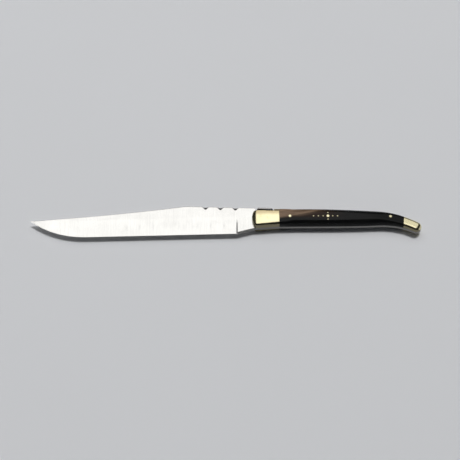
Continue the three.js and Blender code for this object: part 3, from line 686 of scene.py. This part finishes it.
    def places(self):
        """Places along the blade: even steps, and finer ones at the tip, the heel and the spine's step."""
        size = self.size
        tip, heel, end = size.tip_land - size.length, -size.heel_from_bolster, -size.spine_step_gap
        stretches = [
            (tip, tip + size.belly_length * TIP_DETAIL),
            (heel - size.plunge_length, heel + size.plunge_length),
            (end - size.spine_step_length - DETAIL_STEP, end),
        ]
        fine = [np.arange(*stretch, DETAIL_STEP) for stretch in stretches]
        x = np.sort(np.concatenate([np.arange(tip, end, BLADE_STEP), *fine, [end]]))
        return x[np.concatenate([np.diff(x) > LEAST_STEP, [True]])]


def drawn(context):
    """The settings of the scene's knife, and the form of its handle."""
    knife = context.scene.ham_knife
    return knife, HandleForm(knife.handle, knife.blade.thickness, knife.boss)


def drawing_origin(knife):
    """Where the drawing's origin lies in the packed part: the bolsters' rear face less their length, the
    front rivet's axis less its height, and the middle of the steel."""
    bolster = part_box("front_bolster_left")[1]
    rivet = sum(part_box("bolster_pin_front"), Vector()) / 2
    steel = sum(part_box("blade"), Vector()) / 2
    return np.array([bolster.x - knife.handle.bolster_length, rivet.y - knife.pins.height, steel.z])


# Meshes


def closed_skin(name, rings):
    """A closed mesh from a grid of rings, rings by points by 3. Each ring is a loop, neighbours are joined by
    quads, and the first and last ring are closed by one face. Faces are turned to point out."""
    loops, points = rings.shape[:2]
    corner = np.arange(loops * points).reshape(loops, points)
    ahead = np.roll(corner, -1, axis=1)
    quads = np.stack([corner[:-1], ahead[:-1], ahead[1:], corner[1:]], axis=-1).reshape(-1, 4)
    ends = np.stack([corner[0, ::-1], corner[-1]])
    vertices = rings.reshape(-1, 3)
    a, b, c, d = (vertices[quads[:, i]] for i in range(4))
    volume = np.einsum("ij,ij->", a, np.cross(b, c)) + np.einsum("ij,ij->", a, np.cross(c, d))
    fan = [vertices[ends[:, i]] for i in (slice(0, 1), slice(1, -1), slice(2, None))]
    volume += np.einsum("kij,kij->", np.broadcast_to(fan[0], fan[1].shape), np.cross(fan[1], fan[2]))
    if volume < 0:
        quads, ends = quads[:, ::-1], ends[:, ::-1]
    mesh = bpy.data.meshes.new(name)
    mesh.from_pydata(vertices.tolist(), [], quads.tolist() + ends.tolist())
    if mesh.validate():
        raise RuntimeError(f"{name} has faces that don't close")
    mesh.shade_smooth()
    mesh.set_sharp_from_angle(angle=SHARP_ANGLE)
    return mesh


def add_piece(name, rings, knife, finish, slot, node, grain=None, patina_and_painted_shade=None):
    """Sets a piece down in the packed part's frame, in the place of one of its nodes. Grain is the
    straightened place of each point, and patina_and_painted_shade its share of painted shade, and on the pins
    its share of tarnish, for the material."""
    mesh = closed_skin(name, rings + drawing_origin(knife))
    if grain is not None:
        mesh.attributes.new("grain", "FLOAT_VECTOR", "POINT").data.foreach_set("vector", grain.ravel())
    if patina_and_painted_shade is not None:
        mesh.attributes.new("patina_and_painted_shade", "FLOAT", "POINT").data.foreach_set("value", patina_and_painted_shade.ravel())
    mesh.materials.append(made(finish, knife))
    piece = bpy.data.objects.new(name, mesh)
    bpy.context.scene.collection.objects.link(piece)
    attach(piece, BODY)
    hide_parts(node)


def add_halves(name, knife, handle, along, inset, finish, slot, node):
    """Sets down the left and the right half of a pair. Horn carries its grain, and brass the painted shade of
    its belly.
    """
    for side, sign in SIDES:
        rings, straight = handle.half(along, inset, sign)
        # brass carries the painted shade of its belly
        carried = {"grain": straight} if slot == "horn" else {"patina_and_painted_shade": handle.tarnish_and_painted_shade(straight)}
        add_piece(f"{name}_{side}", rings, knife, finish, slot, f"{node}_{side}", **carried)


# Finishes


class Signal:
    """A socket of a material, so that shader maths is written as an expression."""

    def __init__(self, finish, socket):
        self.finish = finish
        self.socket = socket

    def maths(self, operation, *values):
        """One operation on signals and numbers."""
        return self.finish.node("ShaderNodeMath", {"operation": operation}, dict(enumerate(values)))

    def __add__(self, other):
        return self.maths("ADD", self, other)

    def __sub__(self, other):
        return self.maths("SUBTRACT", self, other)

    def __rsub__(self, other):
        return self.maths("SUBTRACT", other, self)

    def __mul__(self, other):
        return self.maths("MULTIPLY", self, other)

    __radd__ = __add__
    __rmul__ = __mul__

    def other(self, output):
        """Another output of the same node."""
        return Signal(self.finish, self.socket.node.outputs[output])

    def between(self, low, high):
        """Rises smoothly from 0 at low to 1 at high."""
        inputs = {"Value": self, "From Min": low, "From Max": high}
        return self.finish.node("ShaderNodeMapRange", {"interpolation_type": "SMOOTHSTEP"}, inputs)


class Finish:
    """A material in the making."""

    def __init__(self, name):
        self.material = bpy.data.materials.new(name)
        self.material.use_nodes = True
        self.tree = self.material.node_tree
        self.tree.nodes.clear()

    def node(self, kind, modes=None, inputs=None, output=0):
        """Adds a node of a kind with its modes, then the values or links of its inputs, and gives one of its
        outputs."""
        node = self.tree.nodes.new(kind)
        for key, value in (modes or {}).items():
            setattr(node, key, value)
        for key, value in (inputs or {}).items():
            if isinstance(value, Signal):
                self.tree.links.new(value.socket, node.inputs[key])
            else:
                node.inputs[key].default_value = value
        return Signal(self, node.outputs[output])

    def parts(self, vector):
        """The three parts of a vector."""
        first = self.node("ShaderNodeSeparateXYZ", {}, {0: vector})
        return first, first.other(1), first.other(2)

    def place(self):
        """The three parts of a place in the piece's own frame."""
        return self.parts(self.node("ShaderNodeTexCoord", output="Object"))

    def carried(self, name, output):
        """An attribute that the piece carries."""
        return self.node("ShaderNodeAttribute", {"attribute_name": name}, output=output)

    def stretched(self, place, scales, **noise):
        """Noise over a place whose three parts are scaled one by one."""
        scaled = dict(enumerate(part * scale for part, scale in zip(place, scales)))
        vector = self.node("ShaderNodeCombineXYZ", {}, scaled)
        return self.node("ShaderNodeTexNoise", {}, {"Vector": vector, "Scale": 1.0, **noise})

    def blend(self, factor, a, b):
        """Colour a where the factor is 0, and b where it is 1."""
        modes = {"data_type": "RGBA", "blend_type": "MIX"}
        ends = [end if isinstance(end, Signal) else (*end, 1.0) for end in (a, b)]
        return self.node("ShaderNodeMix", modes, {0: factor, 6: ends[0], 7: ends[1]}, output=2)

    def bump(self, height, strength, distance):
        """A normal that follows a height."""
        return self.node("ShaderNodeBump", {}, {"Height": height, "Strength": strength, "Distance": distance})

    def surface(self, **inputs):
        """Closes the material with a Principled surface."""
        named = {key.replace("_", " "): value for key, value in inputs.items()}
        shader = self.node("ShaderNodeBsdfPrincipled", {}, named)
        output = self.tree.nodes.new("ShaderNodeOutputMaterial")
        self.tree.links.new(shader.socket, output.inputs["Surface"])
        return self.material


def made(maker, knife):
    """A finish by its maker's name, made the first time it is asked for."""
    name = maker.__name__
    return bpy.data.materials.get(name) or maker(Finish(name), knife)


# In the finishes below, noise runs from 0 to 1, between() takes two of its levels, and factors are weights.


def ground_steel(finish, knife):
    """Polished steel with the fine lines of the grindstone across the blade, a faint cloudiness, and painted
    shade where the piece carries it."""
    colours = knife.finishes
    place = finish.place()
    lines = finish.stretched(place, STEEL_LINES, Detail=3.0, Roughness=0.6)
    cloud = finish.stretched(place, STEEL_CLOUD, Detail=2.0)
    painted_shade = finish.carried("patina_and_painted_shade", "Fac")
    shade = lines.between(0.35, 0.75) * 0.5 + cloud.between(0.3, 0.8) * 0.3
    clean = finish.blend(shade, colours.steel, colours.steel_shade)
    return finish.surface(
        # painted shade darkens the colour where the piece carries it
        Base_Color=finish.blend(painted_shade * 0.9, clean, colours.painted_shade),
        Metallic=1.0,
        Roughness=colours.steel_roughness + lines * 0.08 + cloud * 0.06 + painted_shade * 0.2,
        Normal=finish.bump(lines, 0.06, LINE_DEPTH),
    )


def boss_steel(finish, knife):
    """The same steel with painted shade on its walls and in its filed lines, from the share that the piece
    carries.
    """
    colours = knife.finishes
    lines = finish.stretched(finish.place(), BOSS_LINES, Detail=2.0)
    painted_shade = finish.carried("patina_and_painted_shade", "Fac")
    clean = finish.blend(lines.between(0.3, 0.8) * 0.6, colours.steel, colours.steel_shade)
    return finish.surface(
        # painted shade on the walls and in the filed lines
        Base_Color=finish.blend(painted_shade, clean, colours.painted_shade),
        Metallic=1.0,
        Roughness=colours.steel_roughness + lines * 0.1 + painted_shade * 0.25,
        Normal=finish.bump(lines, 0.05, LINE_DEPTH),
    )


def polished_brass(finish, knife):
    """Brass with a hand-rubbed cloudiness, hair-fine rubbing lines, painted shade towards the back by the
    boss's seat, and tarnish on the pins and painted shade on the belly where the piece carries them."""
    colours = knife.finishes
    x, y, z = finish.place()
    rubbed = finish.stretched((x, y, z), BRASS_LINES, Detail=3.0, Roughness=0.65)
    cloud = finish.stretched((x, y, z), BRASS_CLOUD, Detail=4.0, Roughness=0.55)
    shade = cloud.between(0.42, 0.8) * 0.45 + rubbed.between(0.5, 0.9) * 0.2
    handled = finish.blend(shade, colours.brass, colours.brass_shade)
    # painted shade: the brass darkens towards the back, by the boss's seat
    painted_back_shade = (y + (cloud - 0.5) * BACK_SHADE_WANDER).between(colours.back_shade_start, colours.back_shade_full)
    painted_back_shade = painted_back_shade * (1 - (x - colours.back_shade_end).between(*BACK_SHADE_BORDER))
    back_shaded = finish.blend(painted_back_shade, handled, colours.brass_painted_back_shade)
    # painted shade on the belly of the bolsters and caps, and tarnish on the pins
    tarnish_and_painted_shade = finish.carried("patina_and_painted_shade", "Fac")
    return finish.surface(
        Base_Color=finish.blend(tarnish_and_painted_shade, back_shaded, colours.brass_tarnish_and_painted_shade),
        Metallic=1.0,
        Roughness=colours.brass_roughness + cloud * 0.07 + rubbed * 0.06,
        Normal=finish.bump(rubbed, 0.05, LINE_DEPTH),
    )


def dark_horn(finish, knife):
    """Horn with streaks along the handle: brown with tan streaks on the back's side by the bolsters, then a
    deep brown that fades to black behind. Streaks are noise that is long along the handle and slants across
    it."""
    colours = knife.finishes
    along, across, height = finish.parts(finish.carried("grain", "Vector"))
    slant = across - along * GRAIN_SLANT
    grain = (along, slant, height)
    streaks = finish.stretched(grain, HORN_STREAKS, Detail=5.0, Roughness=0.6, Distortion=0.4)
    fine = finish.stretched(grain, HORN_FIBRES, Detail=3.0, Roughness=0.6)
    patches = finish.stretched((along, across, height), HORN_PATCHES, Detail=2.0)
    behind = along - knife.handle.bolster_length
    wander = patches - 0.5
    brown_fade = (part * colours.brown_length for part in BROWN_FADE)
    deep_fade = (part * colours.brown_length for part in DEEP_FADE)
    back = (across - behind * BROWN_SLANT + wander * BROWN_BORDER_WANDER).between(*BROWN_BORDER)
    brown = back * (1 - (behind + patches * BROWN_END_WANDER).between(*brown_fade))
    deep = across.between(*DEEP_BORDER) * (1 - behind.between(*deep_fade))
    band = slant + wander * TAN_WANDER
    tan = band.between(*TAN_LOWER) * (1 - band.between(*TAN_UPPER))
    tan = tan * behind.between(*TAN_START) * (1 - behind.between(*TAN_END))
    light = brown * streaks.between(0.50, 0.74) * 0.55 + tan * fine.between(0.15, 0.6) * 0.36
    black = finish.blend(streaks.between(0.45, 0.8) * 0.5, colours.horn_black, colours.horn_sheen)
    dark = finish.blend(deep, black, colours.horn_deep)
    warm = finish.blend(brown * (0.35 + fine.between(0.25, 0.7) * 0.65), dark, colours.horn_brown)
    return finish.surface(
        Base_Color=finish.blend(light, warm, colours.horn_tan),
        Roughness=colours.horn_roughness + fine * 0.08 + patches * 0.05,
        Specular_IOR_Level=0.12,
        Coat_Weight=0.08,
        Coat_Roughness=0.06,
        Normal=finish.bump(streaks * 0.7 + fine * 0.3, 0.05, FIBRE_DEPTH),
    )


def paper_floor(finish, knife):
    """Pale matt paper with a faint tooth."""
    colours = knife.stage
    place = finish.place()
    tooth = finish.stretched(place, PAPER_TOOTH, Detail=4.0)
    cloud = finish.stretched(place, PAPER_CLOUD, Detail=2.0)
    dim = tuple(PAPER_DIM * part for part in colours.floor)
    return finish.surface(
        Base_Color=finish.blend(tooth * 0.5 + cloud * 0.5, colours.floor, dim),
        Roughness=0.7 + tooth * 0.1,
        Specular_IOR_Level=0.3,
        Normal=finish.bump(tooth, 0.05, TOOTH_DEPTH),
    )


# Operators


class HAMKNIFE_OT_blade(bpy.types.Operator):
    """Makes the blade and its tang, one piece of steel"""

    bl_idname = "ham_knife.blade"
    bl_label = "Blade"

    def execute(self, context):
        knife, handle = drawn(context)
        blade = BladeForm(knife.blade, handle)
        butt = np.linspace(0, math.pi / 2, DOME_ROWS + 1)[:-1]
        straight_end = handle.end - knife.handle.butt_rounding
        tang = np.concatenate([np.arange(0, straight_end, HANDLE_STEP),
                               straight_end + knife.handle.butt_rounding * np.sin(butt)])
        tang, _ = handle.with_seat_end(tang, np.zeros(len(tang)))
        places = blade.places()
        front, painted_shade = blade.sections(places)
        rear = blade.tang(tang)
        # painted shade in the scallops and on the blunt belly
        patina_and_painted_shade = np.concatenate([np.maximum(painted_shade, blade.painted_shade_band(places)), blade.painted_shade_band(tang)])
        rings = np.concatenate([front, rear])
        add_piece("steel_blade", rings, knife, ground_steel, "steel", "blade", patina_and_painted_shade=patina_and_painted_shade)
        return {"FINISHED"}


class HAMKNIFE_OT_bolsters(bpy.types.Operator):
    """Makes the two front bolsters, with their sloping nose"""

    bl_idname = "ham_knife.bolsters"
    bl_label = "Bolsters"

    def execute(self, context):
        knife, handle = drawn(context)
        size = knife.handle
        nose = -size.bolster_nose * np.sin(np.linspace(math.pi / 2, 0, DOME_ROWS + 1)[:-1] * NOSE_POLE)
        shares, inset = eased_ends(size.bolster_length, HANDLE_STEP, size.easing, False, True)
        along, inset = handle.with_seat_end(np.concatenate([nose, shares * size.bolster_length]),
                                            np.concatenate([np.zeros(len(nose)), inset]))
        add_halves("brass_bolster", knife, handle, along[:, None], inset[:, None],
                   polished_brass, "brass", "front_bolster")
        return {"FINISHED"}


class HAMKNIFE_OT_scales(bpy.types.Operator):
    """Makes the two horn scales between the bolsters and the butt caps"""

    bl_idname = "ham_knife.scales"
    bl_label = "Scales"

    def execute(self, context):
        knife, handle = drawn(context)
        size = knife.handle
        start = size.bolster_length + size.fit
        end = handle.seam_along(-size.fit)
        shares, inset = eased_ends(end.mean() - start, HANDLE_STEP, size.easing, True, True)
        along = lerp(start, end, shares[:, None])
        add_halves("horn_scale", knife, handle, along, inset[:, None], dark_horn, "horn", "scale")
        return {"FINISHED"}


class HAMKNIFE_OT_butt_caps(bpy.types.Operator):
    """Makes the two brass butt caps behind the tilted seam"""

    bl_idname = "ham_knife.butt_caps"
    bl_label = "Butt caps"

    def execute(self, context):
        knife, handle = drawn(context)
        size = knife.handle
        start = handle.seam_along(0.0)
        end = handle.end - size.butt_rounding
        shares, inset = eased_ends(end - start.mean(), CAP_STEP, size.easing, True, False)
        pole = math.acos((handle.floor + LEAST_STEP) / (size.butt_thickness / 2))
        dome = end + size.butt_rounding * np.sin(np.linspace(0, pole, DOME_ROWS + 1)[1:])
        dome = np.broadcast_to(dome[:, None], (len(dome), len(start)))
        along = np.concatenate([lerp(start, end, shares[:, None]), dome])
        inset = np.concatenate([inset, np.zeros(len(dome))])[:, None]
        add_halves("brass_butt_cap", knife, handle, along, inset, polished_brass, "brass", "butt_cap")
        return {"FINISHED"}


def add_pin(node, knife, handle, place, diameter, crown=0.0, patina_and_painted_shade=None, foot=None):
    """Sets down a pin along Z. Its rings go from the middle of its left head out to its rim, down its side,
    and in to the middle of its right head. Heads follow the handle's skin, with a crown c (1 - (r/R)^2) on
    the left. A blind pin ends flat at its foot."""
    proud = knife.pins.proud
    radii = PIN_RADII[:, None]
    turn = np.linspace(0, 2 * math.pi, PIN_SIDES, endpoint=False)
    x = place[0] + diameter / 2 * radii * np.cos(turn)
    y = place[1] + diameter / 2 * radii * np.sin(turn)
    top = handle.surface_height(x, y) + proud + crown * (1 - radii**2)
    bottom = -handle.surface_height(x, y) - proud if foot is None else np.full_like(x, foot)
    rings = np.concatenate([np.stack([x, y, top], axis=-1), np.stack([x, y, bottom], axis=-1)[::-1]])
    add_piece(f"brass_{node}", rings, knife, polished_brass, "brass", node, patina_and_painted_shade=patina_and_painted_shade)


def pin_tarnish(pins, least):
    """Share of tarnish at the rings of a pin in the horn: least in the middle of its head, and full at its
    rim."""
    head = np.maximum(smooth((PIN_RADII - pins.clean_share) / (1 - pins.clean_share)), least)
    return np.repeat(np.concatenate([head, head[::-1]]), PIN_SIDES)


class HAMKNIFE_OT_rivets(bpy.types.Operator):
    """Makes the rivets that go right through the handle"""

    bl_idname = "ham_knife.rivets"
    bl_label = "Rivets"

    def execute(self, context):
        knife, handle = drawn(context)
        size, pins = knife.handle, knife.pins
        bolster = size.bolster_length
        butt = handle.place(handle.along_at(handle.seam) + pins.butt_from_seam, 0.0, 0.0)
        places = {
            "bolster_pin_front": (pins.bolster_inset, pins.height),
            "bolster_pin_rear": (bolster - pins.bolster_inset, pins.height),
            "scale_pin_front": (bolster + pins.scale_inset, pins.height),
            "scale_pin_centre": (bolster + pins.centre_from_bolster, pins.height),
            "scale_pin_rear": (handle.seam - pins.rear_inset, pins.height),
            "butt_pin": (butt[0], butt[1]),
        }
        for node, place in places.items():
            in_horn = (pins.crown, pin_tarnish(pins, 0.0)) if node.startswith("scale") else ()
            add_pin(node, knife, handle, place, pins.diameter, *in_horn)
        return {"FINISHED"}


class HAMKNIFE_OT_cross(bpy.types.Operator):
    """Makes the small pins of the cross, which are let into the left scale"""

    bl_idname = "ham_knife.cross"
    bl_label = "Cross"

    def execute(self, context):
        knife, handle = drawn(context)
        size, pins = knife.handle, knife.pins
        centre = size.bolster_length + pins.centre_from_bolster
        steps = {}
        for arm, pitch, last in (("fore", -pins.cross_pitch, pins.cross_fore),
                                 ("rear", pins.cross_pitch, pins.cross_rear)):
            steps |= {f"cross_pin_{arm}_{i}": (i * pitch, 0.0) for i in range(1, last + 1)}
        steps |= {"cross_pin_back": (0.0, pins.cross_arm), "cross_pin_belly": (0.0, -pins.cross_arm)}
        foot = size.flat_thickness / 2 - pins.cross_depth
        tarnish_and_painted_shade = pin_tarnish(pins, pins.cross_tarnish)
        for node, (along, across) in steps.items():
            place = (centre + along, pins.height + across)
            add_pin(node, knife, handle, place, pins.cross_diameter, pins.crown, tarnish_and_painted_shade, foot)
        return {"FINISHED"}


class HAMKNIFE_OT_boss(bpy.types.Operator):
    """Makes the steel boss on its seat: a long plate that narrows to its tail, with upright walls, corners
    and a rim rounded as quarter circles, and filed lines of cos^2 section across its tail. Walls and lines
    carry painted shade"""

    bl_idname = "ham_knife.boss"
    bl_label = "Boss"

    def execute(self, context):
        knife, handle = drawn(context)
        size = knife.boss
        head, tail = size.width / 2, size.tail_width / 2
        run = size.length * (1 - np.cos(np.linspace(0, math.pi, BOSS_ROWS)[1:-1])) / 2
        from_end = np.minimum(run, size.length - run)

        def rounded(radius):
            return radius * (1 - np.sqrt(1 - (1 - np.minimum(from_end / radius, 1)) ** 2))

        half_width = (lerp(head, tail, run / size.length) - rounded(size.corner))[:, None]
        fall = rounded(size.rounding)
        lines = size.length - size.corner - (np.arange(size.grooves) + 0.5) * size.groove_pitch
        nearest = np.abs(run[:, None] - lines).min(axis=1) / (size.groove_width / 2)
        groove = np.cos(math.pi / 2 * np.minimum(nearest, 1)) ** 2
        top = (size.height - fall - size.groove_depth * groove)[:, None]
        rim = np.minimum(size.rounding, half_width)
        turn = np.linspace(0, math.pi / 2, BOSS_POINTS)
        wall, roof = np.linspace(0, 1, BOSS_POINTS)[:-1], np.linspace(1, 0, BOSS_POINTS)[1:-1]
        foot = knife.handle.fit
        across = np.concatenate([half_width + 0 * wall, half_width - rim * (1 - np.cos(turn)),
                                 (half_width - rim) * roof], axis=1)
        height = np.concatenate([lerp(foot, top - rim, wall), top - rim * (1 - np.sin(turn)),
                                 top + 0 * roof], axis=1)
        # painted shade on the walls, fading out near their top, and in the filed lines
        painted_shade_band = 1 - smooth((wall - size.painted_shade_top) / BOSS_FADE + 0.5)
        painted_shade = np.concatenate([painted_shade_band + 0 * top, 0 * (turn + top), groove[:, None] + 0 * roof], axis=1)
        x = np.broadcast_to((size.from_face + run)[:, None], across.shape)
        left = np.stack([x, handle.seat + height, across], axis=-1)
        rings = np.concatenate([left, left[:, ::-1] * MIRROR], axis=1)
        patina_and_painted_shade = np.concatenate([painted_shade, painted_shade[:, ::-1]], axis=1)
        add_piece("steel_back_boss", rings, knife, boss_steel, "steel", "back_ornament", patina_and_painted_shade=patina_and_painted_shade)
        return {"FINISHED"}


class HAMKNIFE_OT_stage(bpy.types.Operator):
    """Makes the pale floor, the soft lights and the camera"""

    bl_idname = "ham_knife.stage"
    bl_label = "Stage"

    def execute(self, context):
        knife = context.scene.ham_knife
        stage = knife.stage
        scene = context.scene
        origin = Vector(drawing_origin(knife))
        target = origin + Vector((stage.target_x, stage.target_y, 0.0))
        self.floor(scene, knife)
        self.room(scene, stage)
        self.camera(scene, stage, target)
        for name, (step, size) in SOFTBOXES.items():
            glow = getattr(stage, f"{name}_glow")
            self.softbox(scene, target, f"{name}_softbox", Vector(step), size, glow)
        self.lamp(scene, stage)
        scene.view_settings.view_transform = "Standard"
        return {"FINISHED"}

    def floor(self, scene, knife):
        """A square floor whose border curves up as h t^2, as a sweep of paper does, and higher in front."""
        stage = knife.stage
        half = stage.floor_size / 2
        line = np.linspace(-half, half, FLOOR_ROWS)
        x, y = np.meshgrid(line, line, indexing="ij")
        side, end = (np.maximum(np.abs(run) - half + stage.sweep, 0) / stage.sweep for run in (x, y))
        rise = np.where(y < 0, stage.front_rise, stage.sweep_rise)
        height = np.maximum(stage.sweep_rise * side**2, rise * end**2)
        grid = np.stack([x, y, height - FLOOR_GAP], axis=-1)
        corner = np.arange(x.size).reshape(x.shape)
        quads = np.stack([corner[:-1, :-1], corner[1:, :-1], corner[1:, 1:], corner[:-1, 1:]], axis=-1)
        mesh = bpy.data.meshes.new("paper_floor")
        mesh.from_pydata(grid.reshape(-1, 3).tolist(), [], quads.reshape(-1, 4).tolist())
        mesh.shade_smooth()
        mesh.materials.append(made(paper_floor, knife))
        floor = bpy.data.objects.new("paper_floor", mesh)
        scene.collection.objects.link(floor)

    def room(self, scene, stage):
        """An even, dim room."""
        world = bpy.data.worlds.new("room")
        world.use_nodes = True
        background = world.node_tree.nodes["Background"]
        background.inputs["Color"].default_value = (*stage.room, 1.0)
        background.inputs["Strength"].default_value = 1.0
        scene.world = world

    def camera(self, scene, stage, target):
        """The camera, which looks at its target from the belly's side."""
        camera = bpy.data.cameras.new("camera")
        camera.lens, camera.sensor_width, camera.clip_start = stage.focal_length, SENSOR_WIDTH, NEAR_CLIP
        holder = bpy.data.objects.new("camera", camera)
        back = Vector((0.0, -math.cos(stage.elevation), math.sin(stage.elevation)))
        holder.location = target + back * stage.distance
        holder.rotation_euler = (math.pi / 2 - stage.elevation, 0.0, 0.0)
        scene.collection.objects.link(holder)
        scene.camera = holder

    def hang(self, scene, light, step):
        """Turns a light to shine back along a step, and gives its holder."""
        holder = bpy.data.objects.new(light.name, light)
        holder.rotation_euler = (-step).to_track_quat("-Z", "Y").to_euler()
        scene.collection.objects.link(holder)
        return holder

    def softbox(self, scene, target, name, step, size, glow):
        """A rectangular softbox at a step from the target, turned towards it."""
        light = bpy.data.lights.new(name, "AREA")
        light.shape = "RECTANGLE"
        light.size, light.size_y = size
        light.energy = GLOW_POWER * glow * size[0] * size[1]
        self.hang(scene, light, step).location = target + step

    def lamp(self, scene, stage):
        """The lamp overhead, which casts the shadow and isn't mirrored."""
        light = bpy.data.lights.new("shadow_lamp", "SUN")
        light.energy, light.angle = stage.lamp_strength, stage.lamp_softness
        self.hang(scene, light, Vector(TO_LAMP)).visible_glossy = False


class HAMKNIFE_PT_panel(bpy.types.Panel):
    """The knife's pieces and settings in the sidebar"""

    bl_label = "Ham knife"
    bl_idname = "HAMKNIFE_PT_panel"
    bl_space_type = "VIEW_3D"
    bl_region_type = "UI"
    bl_category = "Ham knife"

    def draw(self, context):
        layout = self.layout
        for maker in OPERATORS:
            layout.operator(maker.bl_idname)
        knife = context.scene.ham_knife
        for name in KnifeSettings.__annotations__:
            group = getattr(knife, name)
            box = layout.box()
            box.label(text=name.capitalize())
            for key in type(group).__annotations__:
                box.prop(group, key)


GROUPS = (KnifeBlade, KnifeHandle, KnifePins, KnifeBoss, KnifeFinishes, KnifeStage, KnifeSettings)
OPERATORS = (
    HAMKNIFE_OT_blade,
    HAMKNIFE_OT_bolsters,
    HAMKNIFE_OT_scales,
    HAMKNIFE_OT_butt_caps,
    HAMKNIFE_OT_rivets,
    HAMKNIFE_OT_cross,
    HAMKNIFE_OT_boss,
    HAMKNIFE_OT_stage,
)
CLASSES = (*GROUPS, *OPERATORS, HAMKNIFE_PT_panel)


def register():
    """Adds the classes, and the settings to every scene."""
    for item in CLASSES:
        bpy.utils.register_class(item)
    bpy.types.Scene.ham_knife = pointer(KnifeSettings, "Ham knife")


def unregister():
    """Takes them away again."""
    del bpy.types.Scene.ham_knife
    for item in reversed(CLASSES):
        bpy.utils.unregister_class(item)


def main():
    """Builds the knife and its stage."""
    register()
    bpy.ops.ham_knife.blade()
    bpy.ops.ham_knife.bolsters()
    bpy.ops.ham_knife.scales()
    bpy.ops.ham_knife.butt_caps()
    bpy.ops.ham_knife.rivets()
    bpy.ops.ham_knife.cross()
    bpy.ops.ham_knife.boss()
    bpy.ops.ham_knife.stage()


if __name__ == "__main__":
    main()
